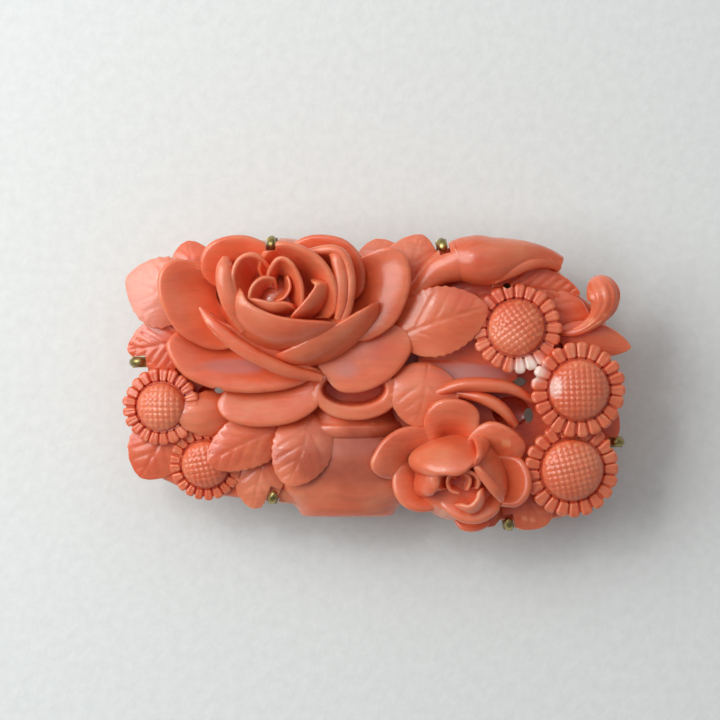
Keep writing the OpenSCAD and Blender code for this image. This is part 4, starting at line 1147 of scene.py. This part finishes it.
class CLIP_OT_setting(bpy.types.Operator):
    """Files the edges of the claws, the frame and the bridges"""
    bl_idname = "clip.setting"
    bl_label = "Make the setting"

    def execute(self, context):
        source = frame["nodes"]["claw_setting"]
        obj = bpy.data.objects.new(SETTING, source.data.copy())
        folder(METAL).objects.link(obj)
        welded = bmesh.new()
        welded.from_mesh(obj.data)
        bmesh.ops.remove_doubles(welded, verts=welded.verts, dist=WELD)
        welded.to_mesh(obj.data)
        welded.free()
        boolean(obj, claw_cuts(), "DIFFERENCE")
        boolean(obj, prongs(), "UNION")
        soft = obj.modifiers.new("filed edges", "BEVEL")
        soft.width = context.scene.clip_sizes.setting_edge
        soft.segments = 2
        soft.limit_method = "ANGLE"
        soft.angle_limit = math.radians(FILED_OVER)
        settled(obj)
        obj.name = SETTING
        obj.data.shade_smooth()
        obj.data.set_sharp_from_angle(angle=math.radians(SETTING_SHARP))
        obj.data.materials.clear()
        obj.data.materials.append(gold_material())
        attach(obj, "root")
        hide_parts("claw_setting")
        return {"FINISHED"}


# Half the paper's width, in metres
PAPER = 1.2
# Area lights: name, place and width in metres, watts, and colour
LIGHTS = (
    ("window", (-0.18, 0.06, 0.19), 0.22, 0.60, (0.97, 0.99, 1.0)),
    ("lamp", (-0.14, 0.12, 0.32), 0.03, 0.06, (1.0, 0.98, 0.95)),
    ("room", (-0.02, 0.36, 0.42), 0.60, 0.7, (1.0, 0.98, 0.95)),
)
ROOM_COLOUR, ROOM_STRENGTH = (0.93, 0.95, 1.0, 1), 0.28
# The camera looks straight down: its place in metres, its sensor in mm, and the width in metres that it
# sees at a height half way up the relief
CAMERA_AT = (-0.00165, 0.0023, 0.375)
SENSOR, SEEN_WIDTH, SEEN_AT = 36, 0.072, 0.012
CLIP_FROM, CLIP_TO = 0.01, 10


class CLIP_OT_stage(bpy.types.Operator):
    """Sets the paper, the light and the camera"""
    bl_idname = "clip.stage"
    bl_label = "Set the stage"

    def execute(self, context):
        mesh = bpy.data.meshes.new("paper")
        corners = [(-PAPER, -PAPER, 0), (PAPER, -PAPER, 0), (PAPER, PAPER, 0), (-PAPER, PAPER, 0)]
        mesh.from_pydata(corners, [], [(0, 1, 2, 3)])
        paper = bpy.data.objects.new("paper", mesh)
        folder(STAGE).objects.link(paper)
        paper.data.materials.append(paper_material())
        for name, at, size, power, colour in LIGHTS:
            light = bpy.data.lights.new(name, "AREA")
            light.size, light.energy, light.color = size, power, colour
            lamp = bpy.data.objects.new(name, light)
            lamp.location = at
            lamp.rotation_euler = (Vector((0, 0, 0)) - Vector(at)).to_track_quat("-Z", "Y").to_euler()
            folder(STAGE).objects.link(lamp)
        world = bpy.data.worlds.new("soft_room")
        world.use_nodes = True
        world.node_tree.nodes["Background"].inputs["Color"].default_value = ROOM_COLOUR
        world.node_tree.nodes["Background"].inputs["Strength"].default_value = ROOM_STRENGTH
        context.scene.world = world
        lens = bpy.data.cameras.new("camera")
        lens.sensor_width, lens.sensor_height, lens.sensor_fit = SENSOR, SENSOR, "AUTO"
        lens.clip_start, lens.clip_end = CLIP_FROM, CLIP_TO
        lens.lens = SENSOR * (CAMERA_AT[2] - SEEN_AT) / SEEN_WIDTH
        camera = bpy.data.objects.new("camera", lens)
        camera.location = CAMERA_AT
        folder(STAGE).objects.link(camera)
        context.scene.camera = camera
        context.scene.view_settings.view_transform = "Standard"
        return {"FINISHED"}


STEPS = (
    CLIP_OT_roses, CLIP_OT_daisies, CLIP_OT_leaves, CLIP_OT_vase, CLIP_OT_coral, CLIP_OT_setting,
    CLIP_OT_stage)


class CLIP_PT_panel(bpy.types.Panel):
    """Steps of the coral clip, in order"""
    bl_idname = "CLIP_PT_panel"
    bl_label = "Coral clip"
    bl_space_type = "VIEW_3D"
    bl_region_type = "UI"
    bl_category = "Coral clip"

    def draw(self, context):
        for group in (context.scene.clip_sizes, context.scene.clip_colours):
            for key in group.__annotations__:
                self.layout.prop(group, key)
        for step in STEPS:
            self.layout.operator(step.bl_idname)


CLASSES = (CLIP_PG_sizes, CLIP_PG_colours, *STEPS, CLIP_PT_panel)


def register():
    """Adds the settings, the operators and the panel."""
    for cls in CLASSES:
        bpy.utils.register_class(cls)
    bpy.types.Scene.clip_sizes = bpy.props.PointerProperty(type=CLIP_PG_sizes)
    bpy.types.Scene.clip_colours = bpy.props.PointerProperty(type=CLIP_PG_colours)


def unregister():
    """Takes them away again."""
    del bpy.types.Scene.clip_colours
    del bpy.types.Scene.clip_sizes
    for cls in reversed(CLASSES):
        bpy.utils.unregister_class(cls)


def main():
    """Carves the clip step by step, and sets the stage."""
    register()
    bpy.ops.clip.roses()
    bpy.ops.clip.daisies()
    bpy.ops.clip.leaves()
    bpy.ops.clip.vase()
    bpy.ops.clip.coral()
    bpy.ops.clip.setting()
    bpy.ops.clip.stage()


if __name__ == "__main__":
    main()
